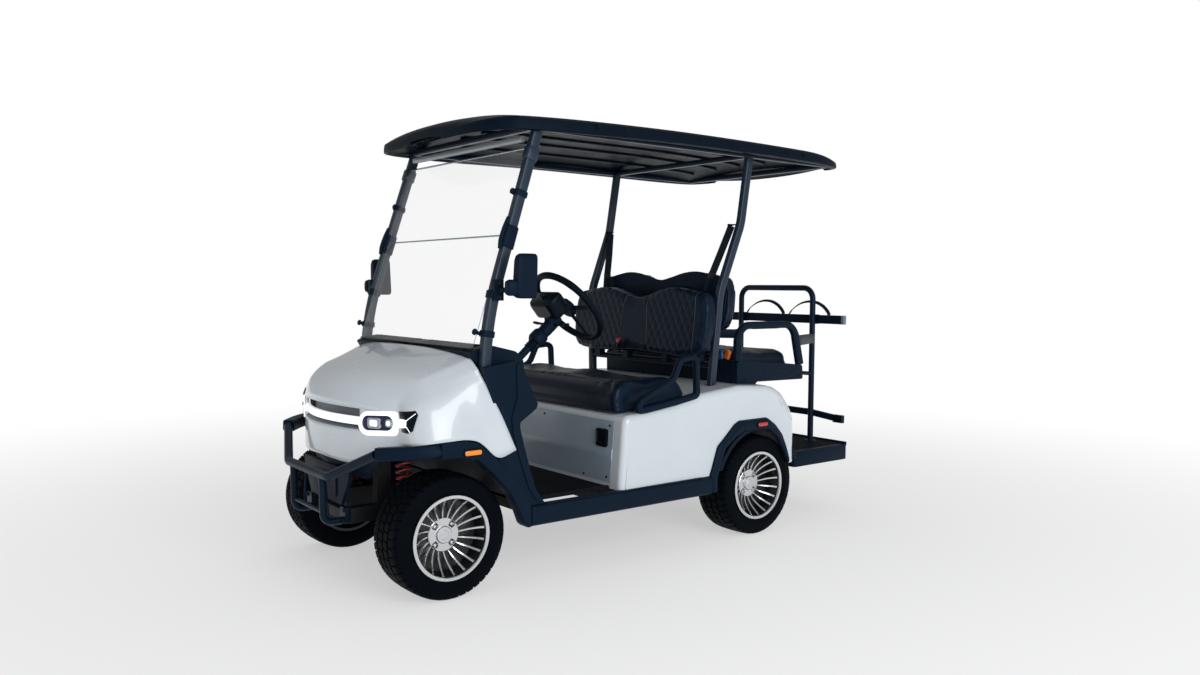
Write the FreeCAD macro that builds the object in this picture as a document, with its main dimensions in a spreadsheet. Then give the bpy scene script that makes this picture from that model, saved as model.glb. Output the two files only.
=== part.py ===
"""Golf cart with a rear-facing second bench: frame, body panels, roof, seats, axles and steering.

The frame of the part: x to the cart's left, y to the rear, z up, origin on the ground
midway along the overall length. Every length is in millimetres.
"""
import FreeCAD, Part
import Sketcher
import math
import os
from types import SimpleNamespace

doc = FreeCAD.newDocument("GolfCart")
sheet = doc.addObject("Spreadsheet::Sheet", "Sizes")
Vector = FreeCAD.Vector

# Driving dimensions, by sub-assembly.
DIMENSIONS = {
    # wheels, axles and overall plan
    "wheelbase": 1660, "front_overhang": 360, "rear_overhang": 830,
    "track_front": 914, "track_rear": 958,
    "tyre_radius": 240, "tyre_width": 190, "bead_radius": 153, "bead_width": 168, "carcass": 14,
    "rim_lip": 163, "rim_wall": 5, "hub_recess": 74, "hub_disc": 66, "hub_radius": 34,
    "hub_depth": 70, "lug_circle": 50.8, "lug_pocket": 11, "spindle_radius": 12.5,
    "running_fit": 0.05, "face_gap": 0.3, "spoke_gap_inner": 15, "spoke_gap_outer": 38,
    # steering and front suspension
    "kingpin_x": 345, "kingpin_radius": 9, "lower_arm_z": 175, "upper_arm_z": 315,
    "arm_boss": 20, "arm_thick": 28, "spring_radius": 33, "steering_arm": 105,
    "column_x": 270, "wheel_ring": 178, "ring_section": 13, "column_tilt": 40,
    # frame
    "rail_x": 180, "rail_width": 50, "rail_height": 60, "rail_bottom": 262, "kick_up": 138,
    "beam": 40, "seat_post_x": 440,
    # lower body
    "sill_outer": 600, "sill_width": 48, "sill_bottom": 243, "sill_top": 324, "floor_top": 334,
    "floor_thick": 12, "cowl_wall": 5, "cowl_half": 592, "nose_radius": 770, "body_half": 582,
    "body_wall": 5, "body_corner": 42, "trim_stand": 20, "trim_width": 62,
    "box_front": 847, "deck": 643, "lamp_depth": 26, "marker_thick": 7,
    # roof and pillars
    "pillar_width": 32, "pillar_x_foot": 533, "pillar_x_top": 517,
    "strut_x": 497, "glass": 5, "windscreen_half": 506,
    # seats
    "cushion_half": 536, "back_half": 533, "rear_back_half": 500, "rear_cushion_half": 452,
    "pan_half": 500, "pan_wall": 28, "restraint_inset": 16, "restraint_tube": 14,
    "hinge_x": 300, "hinge_pin": 5, "hinge_lug": 20, "hinge_clear": 8,
    # rear rack
    "hoop_x": 266, "hoop_tube": 16, "hoop_top": 1205, "hoop_y": 750, "rack_half": 462,
    "footplate_half": 460, "footplate_top": 345, "footplate_skirt": 82, "footplate_wall": 6,
    # brush guard
    "guard_tube": 18, "guard_half": 440, "guard_bar_z": 457,
    # heavy masses
    "motor_radius": 88, "motor_length": 235, "axle_tube": 30, "battery_length": 330,
}


class Size:
    """A length with the spreadsheet formula that it is worked out by."""

    def __init__(self, value, formula):
        self.value = float(value)
        self.formula = formula

    def join(self, sign, other, value):
        text = other.formula if isinstance(other, Size) else repr(float(other))
        return Size(value, "(%s %s %s)" % (self.formula, sign, text))

    def __add__(self, other):
        return self.join("+", other, self.value + float(other))

    def __sub__(self, other):
        return self.join("-", other, self.value - float(other))

    def __mul__(self, other):
        return self.join("*", other, self.value * float(other))

    def __truediv__(self, other):
        return self.join("/", other, self.value / float(other))

    def __neg__(self):
        return Size(-self.value, "(-1 * %s)" % self.formula)

    def __radd__(self, other):
        return self + other

    def __rmul__(self, other):
        return self * other

    def __rsub__(self, other):
        return -self + other

    def __float__(self):
        return self.value


for row, (alias, value) in enumerate(DIMENSIONS.items(), start=1):
    sheet.set("A%d" % row, alias.replace("_", " "))
    sheet.set("B%d" % row, str(value))
    sheet.setAlias("B%d" % row, alias)
doc.recompute()
size = SimpleNamespace(**{name: Size(sheet.get(name), "Sizes." + name) for name in DIMENSIONS})

# Stations along the cart, and shared levels.
cart_length = size.wheelbase + size.front_overhang + size.rear_overhang
front = size.front_overhang - cart_length / 2
rear = front + size.wheelbase
rail_top = size.rail_bottom + size.rail_height
trim_outer = size.body_half + size.trim_stand
pieces = {}


# ---------------------------------------------------------------- helpers
def vector(x, y, z):
    return Vector(float(x), float(y), float(z))


def bind(target, name, value):
    """Set a property from a Size through the sheet, or from a plain number."""
    if isinstance(value, Size):
        target.setExpression(name, value.formula)
    else:
        target.setExpression(name, repr(float(value)))


def place(target, x=0, y=0, z=0):
    for axis, value in (("x", x), ("y", y), ("z", z)):
        bind(target, "Placement.Base." + axis, value)


def originPlane(body, role):
    return [f for f in body.Origin.OriginFeatures if f.Role == role][0]


def newBody(label):
    body = doc.addObject("PartDesign::Body", label)
    body.Label = label
    pieces[label] = body
    return body


def outline(body, role, points, offset=0):
    """A closed outline on one of the body's own planes; each corner is held by two distances."""
    sketch = body.newObject("Sketcher::SketchObject", body.Name + "_outline")
    sketch.AttachmentSupport = [(originPlane(body, role), "")]
    sketch.MapMode = "FlatFace"
    bind(sketch, "AttachmentOffset.Base.z", offset)
    corners = [Vector(float(u), float(v), 0) for u, v in points]
    count = len(corners)
    sketch.addGeometry([Part.LineSegment(corners[i], corners[(i + 1) % count])
                        for i in range(count)], False)
    sketch.addConstraint([Sketcher.Constraint("Coincident", i, 2, (i + 1) % count, 1)
                          for i in range(count)])
    for i, pair in enumerate(points):
        for kind, value in zip(("DistanceX", "DistanceY"), pair):
            index = sketch.addConstraint(Sketcher.Constraint(kind, -1, 1, i, 1, float(value)))
            if isinstance(value, Size):
                sketch.setExpression("Constraints[%d]" % index, value.formula)
    return sketch


def ring(body, role, centre, radius, offset=0):
    """A circle on one of the body's own planes."""
    sketch = body.newObject("Sketcher::SketchObject", body.Name + "_circle")
    sketch.AttachmentSupport = [(originPlane(body, role), "")]
    sketch.MapMode = "FlatFace"
    bind(sketch, "AttachmentOffset.Base.z", offset)
    middle = Vector(float(centre[0]), float(centre[1]), 0)
    sketch.addGeometry(Part.Circle(middle, Vector(0, 0, 1), float(radius)), False)
    index = sketch.addConstraint(Sketcher.Constraint("Radius", 0, float(radius)))
    bind(sketch, "Constraints[%d]" % index, radius)
    for kind, value in zip(("DistanceX", "DistanceY"), centre):
        index = sketch.addConstraint(Sketcher.Constraint(kind, -1, 1, 0, 3, float(value)))
        bind(sketch, "Constraints[%d]" % index, value)
    return sketch


def pad(body, sketch, length, symmetric=False):
    feature = body.newObject("PartDesign::Pad", body.Name + "_pad")
    feature.Profile = sketch
    bind(feature, "Length", length)
    feature.SideType = "Symmetric" if symmetric else "One side"
    return feature


def pocket(body, sketch, length, symmetric=False, reverse=False):
    feature = body.newObject("PartDesign::Pocket", body.Name + "_pocket")
    feature.Profile = sketch
    bind(feature, "Length", length)
    feature.SideType = "Symmetric" if symmetric else "One side"
    feature.Reversed = reverse
    return feature


def mirror(body, features):
    feature = body.newObject("PartDesign::Mirrored", body.Name + "_pair")
    feature.Originals = features
    feature.MirrorPlane = (originPlane(body, "YZ_Plane"), [""])
    body.Tip = feature
    return feature


def roundEdges(body, base, radius, chosen):
    """Fillet the edges of the base feature that the chosen test accepts."""
    doc.recompute()
    names = ["Edge%d" % (i + 1) for i, edge in enumerate(base.Shape.Edges) if chosen(edge)]
    feature = body.newObject("PartDesign::Fillet", body.Name + "_round")
    feature.Base = (base, names)
    bind(feature, "Radius", radius)
    return feature


def alongAxis(edge, axis):
    """True for a straight edge along x, y or z, given as 0, 1 or 2."""
    if len(edge.Vertexes) != 2 or edge.Curve.TypeId != "Part::GeomLine":
        return False
    run = edge.Vertexes[1].Point - edge.Vertexes[0].Point
    return abs(abs(run[axis]) - run.Length) < 1e-6


def slab(label, points, half, corner=0, offset=0):
    """A side-view outline (y, z) carried across the cart, half to each side."""
    body = newBody(label)
    feature = pad(body, outline(body, "YZ_Plane", points, offset), half * 2, symmetric=True)
    if corner:
        roundEdges(body, feature, corner, lambda edge: not alongAxis(edge, 0))
    return body


def pairOf(label, points, inner, width):
    """A side-view outline (y, z) made once on each side, from x = inner outwards."""
    body = newBody(label)
    feature = pad(body, outline(body, "YZ_Plane", points, inner), width)
    mirror(body, [feature])
    return body


def box(name, x, y, z, length, width, height):
    """A Part box from its lowest corner."""
    feature = doc.addObject("Part::Box", name)
    for prop, value in (("Length", length), ("Width", width), ("Height", height)):
        bind(feature, prop, value)
    place(feature, x, y, z)
    return feature


def cylinder(name, x, y, z, radius, height, direction="z"):
    feature = doc.addObject("Part::Cylinder", name)
    bind(feature, "Radius", radius)
    bind(feature, "Height", height)
    turn = {"z": (Vector(0, 0, 1), 0), "x": (Vector(0, 1, 0), 90), "y": (Vector(1, 0, 0), -90)}
    feature.Placement.Rotation = FreeCAD.Rotation(*turn[direction])
    place(feature, x, y, z)
    return feature


def fuse(label, parts):
    feature = doc.addObject("Part::MultiFuse", label)
    feature.Shapes = parts
    feature.Refine = False
    feature.Label = label
    pieces[label] = feature
    return feature


def cut(label, base, tools):
    tool = tools[0]
    if len(tools) > 1:
        tool = doc.addObject("Part::MultiFuse", label + "_tools")
        tool.Shapes = tools
    feature = doc.addObject("Part::Cut", label)
    feature.Base = base
    feature.Tool = tool
    feature.Label = label
    pieces[label] = feature
    return feature


def shaped(label, shape, keep=True):
    """A sub-part whose shape comes from Part's own functions."""
    feature = doc.addObject("Part::Feature", label)
    feature.Shape = shape
    feature.Label = label
    if keep:
        pieces[label] = feature
    return feature


def together(shapes):
    """Several solids of one sub-part; those that touch become one."""
    whole = shapes[0].fuse(shapes[1:]) if len(shapes) > 1 else shapes[0]
    return whole


def largest(shape):
    """The biggest solid that a cut leaves."""
    return max(shape.Solids, key=lambda solid: solid.Volume)


def both(shape):
    """The shape and its mirror image on the cart's other side."""
    return Part.makeCompound([shape, shape.mirror(Vector(0, 0, 0), Vector(1, 0, 0))])


def route(points, bend):
    """A wire of straight runs joined by tangent arcs of radius bend."""
    corners = [vector(*p) for p in points]
    edges = []
    start = corners[0]
    for before, corner, after in zip(corners, corners[1:], corners[2:]):
        back = (before - corner).normalize()
        ahead = (after - corner).normalize()
        half = back.getAngle(ahead) / 2
        reach = float(bend) / math.tan(half)
        first = corner + back * reach
        last = corner + ahead * reach
        inward = (back + ahead).normalize()
        middle = corner + inward * (float(bend) / math.sin(half) - float(bend))
        edges.append(Part.LineSegment(start, first).toShape())
        edges.append(Part.Arc(first, middle, last).toShape())
        start = last
    edges.append(Part.LineSegment(start, corners[-1]).toShape())
    return Part.Wire(edges)


def tube(points, radius, bend):
    """A round bar along the route."""
    path = route(points, bend)
    first = path.Edges[0]
    along = first.tangentAt(first.FirstParameter)
    circle = Part.Circle(path.Edges[0].Vertexes[0].Point, along, float(radius))
    return path.makePipeShell([Part.Wire(circle.toShape())], True, False)


def bar(start, end, wide, deep, side=Vector(1, 0, 0)):
    """A straight bar of rectangular section between two points."""
    begin = vector(*start)
    along = vector(*end) - begin
    across = side - along * (side.dot(along) / along.dot(along))
    across.normalize()
    other = along.cross(across).normalize()
    wide = float(wide) / 2
    deep = float(deep) / 2
    corners = [begin + across * i * wide + other * j * deep
               for i, j in ((-1, -1), (1, -1), (1, 1), (-1, 1), (-1, -1))]
    return Part.Face(Part.makePolygon(corners)).extrude(along)


def prism(points, plane, start, end):
    """A polygon given in one plane, carried straight from start to end across it."""
    lift = {"yz": lambda u, v, w: (w, u, v), "xz": lambda u, v, w: (u, w, v),
            "xy": lambda u, v, w: (u, v, w)}[plane]
    corners = [vector(*lift(u, v, start)) for u, v in points]
    along = vector(*lift(0, 0, 1)) * (float(end) - float(start))
    return Part.Face(Part.makePolygon(corners + corners[:1])).extrude(along)


def relative(station, rows):
    """Side-view points given from an axle: (distance behind it, height)."""
    return [(station + y, z) for y, z in rows]


# ---------------------------------------------------------------- wheels
def tyre(label, x, y):
    """A hollow carcass open at the bead, turned about its axle."""
    body = newBody(label)
    half = size.tyre_width / 2
    bead = size.bead_width / 2
    bead_r = size.bead_radius + size.face_gap
    skin = size.carcass
    crown = size.tyre_radius
    rows = [(-bead, bead_r), (-half, size.tyre_radius - 58), (-half + 2, crown - 24),
            (-half + 16, crown - 5), (-half + 40, crown), (half - 40, crown),
            (half - 16, crown - 5), (half - 2, crown - 24), (half, size.tyre_radius - 58),
            (bead, bead_r), (bead - skin, bead_r), (half - skin, size.tyre_radius - 56),
            (half - skin - 8, crown - skin - 8), (-half + skin + 8, crown - skin - 8),
            (-half + skin, size.tyre_radius - 56), (-bead + skin, bead_r)]
    turned = body.newObject("PartDesign::Revolution", label + "_turned")
    turned.Profile = outline(body, "XY_Plane", rows)
    turned.ReferenceAxis = ([f for f in body.Origin.OriginFeatures if f.Role == "X_Axis"][0], [""])
    turned.Angle = 360
    place(body, x, y, size.tyre_radius)


def rim(label, x, y, side):
    """A dished alloy wheel: barrel, swirled spokes between windows, hub with lug pockets."""
    body = newBody(label)
    edge = size.bead_width / 2 + 12
    face = edge - size.hub_recess
    wall = size.rim_wall
    bead = size.bead_radius
    bore = size.spindle_radius + size.running_fit
    rows = [(-edge, size.rim_lip), (-edge, size.rim_lip - wall), (-edge + 12, bead - wall),
            (edge - 42, bead - wall), (edge - 42, bead - wall - 2), (face + 2, size.hub_disc),
            (face + 2 - 14, size.hub_disc), (face - 14, size.hub_radius),
            (face - size.hub_depth, size.hub_radius), (face - size.hub_depth, bore),
            (face, bore), (face, size.hub_disc - 4), (face + 10, size.hub_disc),
            (edge - 14, bead - wall), (edge - 4, size.rim_lip - 12), (edge, size.rim_lip - 8),
            (edge, size.rim_lip), (edge - 7, size.rim_lip), (edge - 12, bead),
            (-edge + 12, bead), (-edge + 7, size.rim_lip)]
    turned = body.newObject("PartDesign::Revolution", label + "_turned")
    turned.Profile = outline(body, "XY_Plane", rows)
    turned.ReferenceAxis = ([f for f in body.Origin.OriginFeatures if f.Role == "X_Axis"][0], [""])
    turned.Angle = 360
    inner, outer = size.hub_disc + 8, bead - wall - 8
    narrow, broad = size.spoke_gap_inner / 2, size.spoke_gap_outer / 2
    sweep = outer * 0.36
    middle = (inner + outer) / 2
    window = [(-narrow, inner), (narrow, inner), ((narrow + broad) / 2 + sweep * 0.16, middle),
              (sweep + broad * 0.9, outer - 10), (sweep - broad * 0.9, outer + 2),
              (-(narrow + broad) / 2 + sweep * 0.4, middle + 6)]
    hole = pocket(body, outline(body, "YZ_Plane", window, edge), edge * 2)
    spokes = body.newObject("PartDesign::PolarPattern", label + "_spokes")
    spokes.Originals = [hole]
    spokes.Axis = (turned.ReferenceAxis[0], [""])
    spokes.Angle = 360
    spokes.Occurrences = 20
    body.Tip = spokes
    lug = pocket(body, ring(body, "YZ_Plane", (0, size.lug_circle), size.lug_pocket, face), 8)
    lugs = body.newObject("PartDesign::PolarPattern", label + "_lugs")
    lugs.Originals = [lug]
    lugs.Axis = (turned.ReferenceAxis[0], [""])
    lugs.Angle = 360
    lugs.Occurrences = 4
    body.Tip = lugs
    if side < 0:
        body.Placement.Rotation = FreeCAD.Rotation(Vector(0, 0, 1), 180)
    place(body, x, y, size.tyre_radius)


WHEELS = [  # name, track, station along the cart
    ("front", size.track_front, front),
    ("rear", size.track_rear, rear),
]
for name, track, station in WHEELS:
    for hand, side in (("left", 1), ("right", -1)):
        tyre("tyre_%s_%s" % (name, hand), track / 2 * side, station)
        rim("rim_%s_%s" % (name, hand), track / 2 * side, station, side)


# ---------------------------------------------------------------- frame and running gear
def frameRails():
    """Two rails that kick up over the rear axle."""
    rail = newBody("frame")
    low, high = size.rail_bottom, size.rail_bottom + size.kick_up
    side_view = [(front - 250, low), (rear - 345, low), (rear - 205, high), (rear + 430, high),
                 (rear + 430, high + size.rail_height), (rear - 230, high + size.rail_height),
                 (rear - 370, rail_top), (front - 250, rail_top)]
    feature = pad(rail, outline(rail, "YZ_Plane", side_view, size.rail_x - size.rail_width / 2),
                  size.rail_width)
    mirror(rail, [feature])


def crossbeams():
    """Square beams between the rails, and outriggers under the floor and the seat box."""
    inner = size.rail_x - size.rail_width / 2
    outer = size.rail_x + size.rail_width / 2
    reach = size.sill_outer - size.sill_width - outer
    beam = size.beam
    high = size.rail_bottom + size.kick_up
    under_floor = rail_top - beam
    parts = []
    for i, (y, z) in enumerate(((front - 250, size.rail_bottom), (front + 120, size.rail_bottom),
                                (front + 335, under_floor), (front + 700, under_floor),
                                (rear - 870, under_floor), (rear - 480, under_floor),
                                (rear - 190, high), (rear + 200, high), (rear + 390, high))):
        parts.append(box("crossbeam_%d" % i, -inner, y, z, inner * 2, beam, beam))
    for i, y in enumerate((front + 335, front + 700, rear - 870, rear - 480)):
        parts.append(box("outrigger_left_%d" % i, outer, y, under_floor, reach, beam, beam))
        parts.append(box("outrigger_right_%d" % i, -outer - reach, y, under_floor, reach, beam, beam))
    fuse("frame_crossbeams", parts)


def uprights():
    """Damper towers, sloping beams below the pillars, seat posts and footplate drops."""
    inner = size.rail_x - size.rail_width / 2
    outer = size.rail_x + size.rail_width / 2
    beam = size.beam
    coil_cap = size.upper_arm_z + 232.2
    high = size.rail_bottom + size.kick_up
    parts = [box("tower_bar", -outer + beam, front - 131, coil_cap - beam, (outer - beam) * 2,
                 beam, beam)]
    for side, hand in ((1, "left"), (-1, "right")):
        def boxAt(name, x, y, z, length, width, height):
            start = x if side > 0 else -x - length
            return box("%s_%s" % (name, hand), start, y, z, length, width, height)
        parts += [
            boxAt("tower", outer - beam, front - 141, rail_top, beam, 60, coil_cap - rail_top),
            boxAt("coil_cap", outer - beam, front - 141, coil_cap, beam + 60, 125, 8),
            boxAt("seat_post", size.seat_post_x, rear - 480, rail_top, beam, beam,
                  size.deck - rail_top + 29.8),
            boxAt("drop", inner, rear + 396, size.footplate_top, size.rail_width, 33,
                  high - size.footplate_top)]
        x = size.pillar_x_foot * side
        slope = bar((x, front + 374, rail_top + 6.5), (x, front + 139.5, 843.2), 36, 30)
        parts.append(shaped("slope_" + hand, slope, keep=False))
    parts.append(box("dash_bar", -size.pillar_x_foot + 18, front + 120, 849.7,
                     size.pillar_x_foot * 2 - 36, 34, 30))
    fuse("frame_uprights", parts)


frameRails()
crossbeams()
uprights()

# Front suspension: a lower and an upper link on each side, with a coil-over ahead of them.
lower, upper = float(size.lower_arm_z), float(size.upper_arm_z)
pivot_x, pin_y = float(size.kingpin_x), float(front)
rail_face = float(size.rail_x + size.rail_width / 2)
thick = float(size.arm_thick)


def frontSuspension():
    boss_hole = float(size.kingpin_radius) + 0.1
    side_parts = []
    for level, reach, root in ((lower, 80, rail_face - 20), (upper, 22, rail_face + 0.3)):
        arm = [(root, pin_y - reach), (rail_face + 30, pin_y - reach),
               (pivot_x, pin_y - 17), (pivot_x, pin_y + 17), (rail_face + 30, pin_y + reach),
               (root, pin_y + reach)]
        side_parts.append(prism(arm, "xy", level - thick / 2, level + thick / 2))
        side_parts.append(Part.makeCylinder(float(size.arm_boss), thick,
                                            Vector(pivot_x, pin_y, level - thick / 2)))
    hanger = prism([(rail_face - 20, pin_y - 80), (rail_face, pin_y - 80),
                    (rail_face, pin_y + 80), (rail_face - 20, pin_y + 80)], "xy",
                   lower - thick / 2, float(size.rail_bottom))
    side_parts.append(hanger)
    whole = together(side_parts)
    pin = Part.makeCylinder(boss_hole, 300, Vector(pivot_x, pin_y, lower - 50))
    whole = whole.cut(pin)
    foot = Vector(rail_face + 78, pin_y - 46, lower + thick / 2 - 4)
    head = Vector(rail_face + 24, pin_y - 46, float(size.upper_arm_z) + 230)
    along = head - foot
    reach = along.Length
    spring_start = foot + along * 0.43
    damper = Part.makeCylinder(13, reach, foot, along)
    coil = Part.makeCylinder(float(size.spring_radius), reach * 0.46, spring_start, along)
    return both(whole.fuse([damper, coil]))


shaped("front_suspension", frontSuspension())


def knuckle(label, side):
    """Upright on the kingpin, spindle outwards and steering arm to the rear."""
    x = size.kingpin_x * side
    gap = size.arm_thick / 2 + 1
    low = size.lower_arm_z + gap
    tall = size.upper_arm_z - size.lower_arm_z - gap * 2
    hub_face = size.track_front / 2 + size.bead_width / 2 + 12 - size.hub_recess
    reach = hub_face - size.kingpin_x
    pin = cylinder(label + "_pin", x, front, size.lower_arm_z - size.arm_thick / 2 - 4,
                   size.kingpin_radius, size.upper_arm_z - size.lower_arm_z + size.arm_thick + 8)
    upright = cylinder(label + "_upright", x, front, low, 17, tall)
    start = x if side > 0 else x - reach
    spindle = cylinder(label + "_spindle", start, front, size.tyre_radius, size.spindle_radius,
                       reach, "x")
    collar = cylinder(label + "_collar", x if side > 0 else x - 36, front, size.tyre_radius, 24,
                      36, "x")
    arm = box(label + "_arm", x - 9, front, size.tyre_radius - 28, 18, size.steering_arm, 16)
    eye = cylinder(label + "_eye", x, front + size.steering_arm, size.tyre_radius - 28, 14, 16)
    fuse(label, [pin, upright, spindle, collar, arm, eye])


knuckle("knuckle_left", 1)
knuckle("knuckle_right", -1)

# The tie rod lies under the two steering arms and carries a ball stud below each eye.
rod_z = size.tyre_radius - 28 - 16
rod_y = front + size.steering_arm
fuse("tie_rod", [
    cylinder("tie_rod_bar", -size.kingpin_x + 6, rod_y, rod_z, 9, size.kingpin_x * 2 - 12, "x"),
    cylinder("tie_rod_end_left", size.kingpin_x, rod_y, rod_z - 12, 13, 27.5),
    cylinder("tie_rod_end_right", -size.kingpin_x, rod_y, rod_z - 12, 13, 27.5)])


def rearAxle():
    """Shafts in their tubes, with the reduction gear casing that carries the motor."""
    hub_face = float(size.track_rear / 2 + size.bead_width / 2 + 12 - size.hub_recess)
    hub_back = hub_face - float(size.hub_depth) - 6
    y, z = float(rear), float(size.tyre_radius)
    shaft = Part.makeCylinder(float(size.spindle_radius), 2 * hub_face, Vector(-hub_face, y, z),
                              Vector(1, 0, 0))
    tubes = Part.makeCylinder(float(size.axle_tube), 2 * hub_back, Vector(-hub_back, y, z),
                              Vector(1, 0, 0))
    casing = Part.makeCylinder(95, 90, Vector(50, y, z + 5), Vector(1, 0, 0))
    gearbox = Part.makeBox(50, 230, 150, Vector(gear_face, y - 10, z - 65))
    return together([shaft, tubes, casing, gearbox])


def rearSprings():
    """A leaf spring with its shackles on each side, and a damper up to the rail."""
    y, z = float(rear), float(size.tyre_radius)
    seat = z + float(size.axle_tube) - 4
    x = float(size.rail_x)
    half = 22.0
    eye_front, eye_rear = y - 300, y + 270
    low = Part.Arc(Vector(x - half, eye_front, 300), Vector(x - half, y, seat),
                   Vector(x - half, eye_rear, 300)).toShape()
    high = Part.Arc(Vector(x - half, eye_front, 318), Vector(x - half, y, seat + 18),
                    Vector(x - half, eye_rear, 318)).toShape()
    ends = [Part.makeLine(Vector(x - half, eye_front, 300), Vector(x - half, eye_front, 318)),
            Part.makeLine(Vector(x - half, eye_rear, 300), Vector(x - half, eye_rear, 318))]
    leaf = Part.Face(Part.Wire([low, ends[1], high, ends[0]])).extrude(Vector(2 * half, 0, 0))
    link = float(size.rail_bottom + size.kick_up) - 310
    shackle = Part.makeBox(2 * half, 16, link - 0.3, Vector(x - half, eye_rear - 16, 310))
    bracket = Part.makeBox(2 * half, 40, 70, Vector(x - half, eye_front - 10, 300))
    damper = Part.makeCylinder(14, 190, Vector(x + 45, y - 30, z + 10), Vector(-0.28, -0.1, 1))
    carried = [pieces["frame"].Shape, pieces["rear_axle"].Shape]
    spring = largest(together([leaf, shackle, bracket]).cut(carried))
    return both(Part.makeCompound([spring, largest(damper.cut(carried))]))


gear_face = 105.0
doc.recompute()
shaped("rear_axle", rearAxle())
shaped("rear_springs", rearSprings())
cylinder_motor = cylinder("motor", -size.motor_length - size.face_gap + gear_face, rear + 190,
                          size.tyre_radius + 15,
                          size.motor_radius, size.motor_length, "x")
pieces["motor"] = cylinder_motor
battery_box = box("battery", -380, rear - 815, rail_top + size.face_gap, 760,
                  size.battery_length, 250)
pieces["battery"] = battery_box


# ---------------------------------------------------------------- floor, sills and side panels
floor_low = size.floor_top - size.floor_thick
box_foot = rear - size.box_front - 24
floor_end = box_foot - size.face_gap
dash_low = 830
slab("floor", [(floor_end, floor_low), (floor_end, size.floor_top),
               (front + 345, size.floor_top), (front + 238, 560), (front + 238, dash_low),
               (front + 226, dash_low), (front + 226, 558), (front + 336, floor_low)],
     size.pillar_x_foot - 18 - size.face_gap)
pairOf("sills", [(front + 330, size.sill_bottom), (rear - 344, size.sill_bottom),
                 (rear - 344, size.sill_top - size.face_gap),
                 (front + 330, size.sill_top - size.face_gap)],
       size.sill_outer - size.sill_width, size.sill_width)
pairOf("side_cowls", relative(front, [  # distance behind the front axle, height
    (110, 868), (252, 556), (170, 530), (237, 457), (302, 376), (329, 324), (400, 324), (356, 387),
    (319, 497), (283, 626), (280, 657), (355, 706), (364, 725), (321, 810), (280, 902), (118, 884)]),
    size.cowl_half - 40, 40)


def cowlSolid(inset):
    """The nose: cross-sections along the cart, trimmed by the round nose seen from above."""
    sections = [  # behind the axle, top at the middle, crease x and height, foot x
        (258, 968, 500, 946, 600), (120, 936, 466, 914, 596), (-120, 872, 442, 812, 590),
        (-305, 772, 424, 716, 582)]
    wires = []
    foot = 500 - inset * 4
    for back, top, crease_x, crease_z, foot_x in sections:
        y = float(front) + back
        half = crease_x - inset
        low_x = foot_x - inset
        p = [Vector(-low_x, y, foot), Vector(-half, y, crease_z - inset),
             Vector(0, y, top - inset), Vector(half, y, crease_z - inset), Vector(low_x, y, foot)]
        edges = [Part.makeLine(p[0], p[1]), Part.Arc(p[1], p[2], p[3]).toShape(),
                 Part.makeLine(p[3], p[4]), Part.makeLine(p[4], p[0])]
        wires.append(Part.Wire(edges))
    body = Part.makeLoft(wires, True, True)
    radius = float(size.nose_radius)
    tip = float(front) - 288
    half = float(size.cowl_half) - inset
    edge = 455.0
    drop = radius - math.sqrt(radius ** 2 - edge ** 2)
    nose = Part.Arc(Vector(-edge, tip + drop + inset, 0), Vector(0, tip + inset, 0),
                    Vector(edge, tip + drop + inset, 0)).toShape()
    turn_y = float(front) - 30
    points = [Vector(edge, tip + drop + inset, 0), Vector(half, turn_y, 0),
              Vector(half, float(front) + 300, 0), Vector(-half, float(front) + 300, 0),
              Vector(-half, turn_y, 0), Vector(-edge, tip + drop + inset, 0)]
    plan = Part.Face(Part.Wire([nose] + [Part.makeLine(a, b) for a, b in zip(points, points[1:])]))
    return body.common(plan.extrude(Vector(0, 0, 1200)))


def lampBand(grow, inset):
    """Light bar between two lamps, following the nose; grow opens it for the recess."""
    radius = float(size.nose_radius) - inset
    centre_y = float(front) - 288 + float(size.nose_radius)
    deep = float(size.lamp_depth) + grow
    spans = [  # from x, to x, bottom, top
        (-260, 260, 676, 706), (250, 388, 634, 733), (386, 452, 662, 730)]
    parts = []
    for x0, x1, low, high in spans:
        for side in (1, -1):
            block = Part.makeBox(x1 - x0 + 2 * grow, 400, high - low + 2 * grow,
                                 Vector(min(x0 * side, x1 * side) - grow,
                                        centre_y - radius - 5, low - grow))
            centre = Vector(0, centre_y, low - grow)
            tall = high - low + 2 * grow
            band = Part.makeCylinder(radius, tall, centre).cut(
                Part.makeCylinder(radius - deep, tall, centre))
            parts.append(band.common(block))
    return together(parts)


def frontCowl():
    shell = cowlSolid(0).cut(cowlSolid(float(size.cowl_wall)))
    y = float(front)
    arch = [(y - 214, 400), (y - 214, 600), (y + 27, 614), (y + 77, 603), (y + 107, 583),
            (y + 170, 530), (y + 170, 400)]
    behind = [(y + 40, 1100), (y + 86, 931), (y + 110, 868), (y + 252, 556), (y + 170, 530),
              (y + 170, 400), (y + 400, 400), (y + 400, 1100)]
    low_nose = [(y - 400, 400), (y - 400, 537), (y - 262, 540), (y - 214, 585), (y - 214, 400)]
    shell = shell.cut([prism(arch, "yz", -700, 700), prism(behind, "yz", -700, 700),
                       prism(low_nose, "yz", -700, 700)])
    return shell.cut(lampBand(0.4, -10))


shaped("front_cowl", frontCowl())
shaped("front_lamps", lampBand(0, 0))

# Bulkhead top and dashboard behind the hood, between the side panels.
cowl_inner = size.cowl_half - 40
dash_view = relative(front, [
    (115, 893), (92, 931), (130, 946), (200, 956), (310, 930), (345, 892), (350, 820), (330, 700),
    (246, 694), (246, dash_low), (180, dash_low), (166, 880)])
slab("dash", dash_view, size.pillar_x_foot - 18 - size.face_gap)

slab("front_valance", relative(front, [
    (-252, 545), (-284, 520), (-268, 326.3), (-252, 326.3)]), 235)


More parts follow.
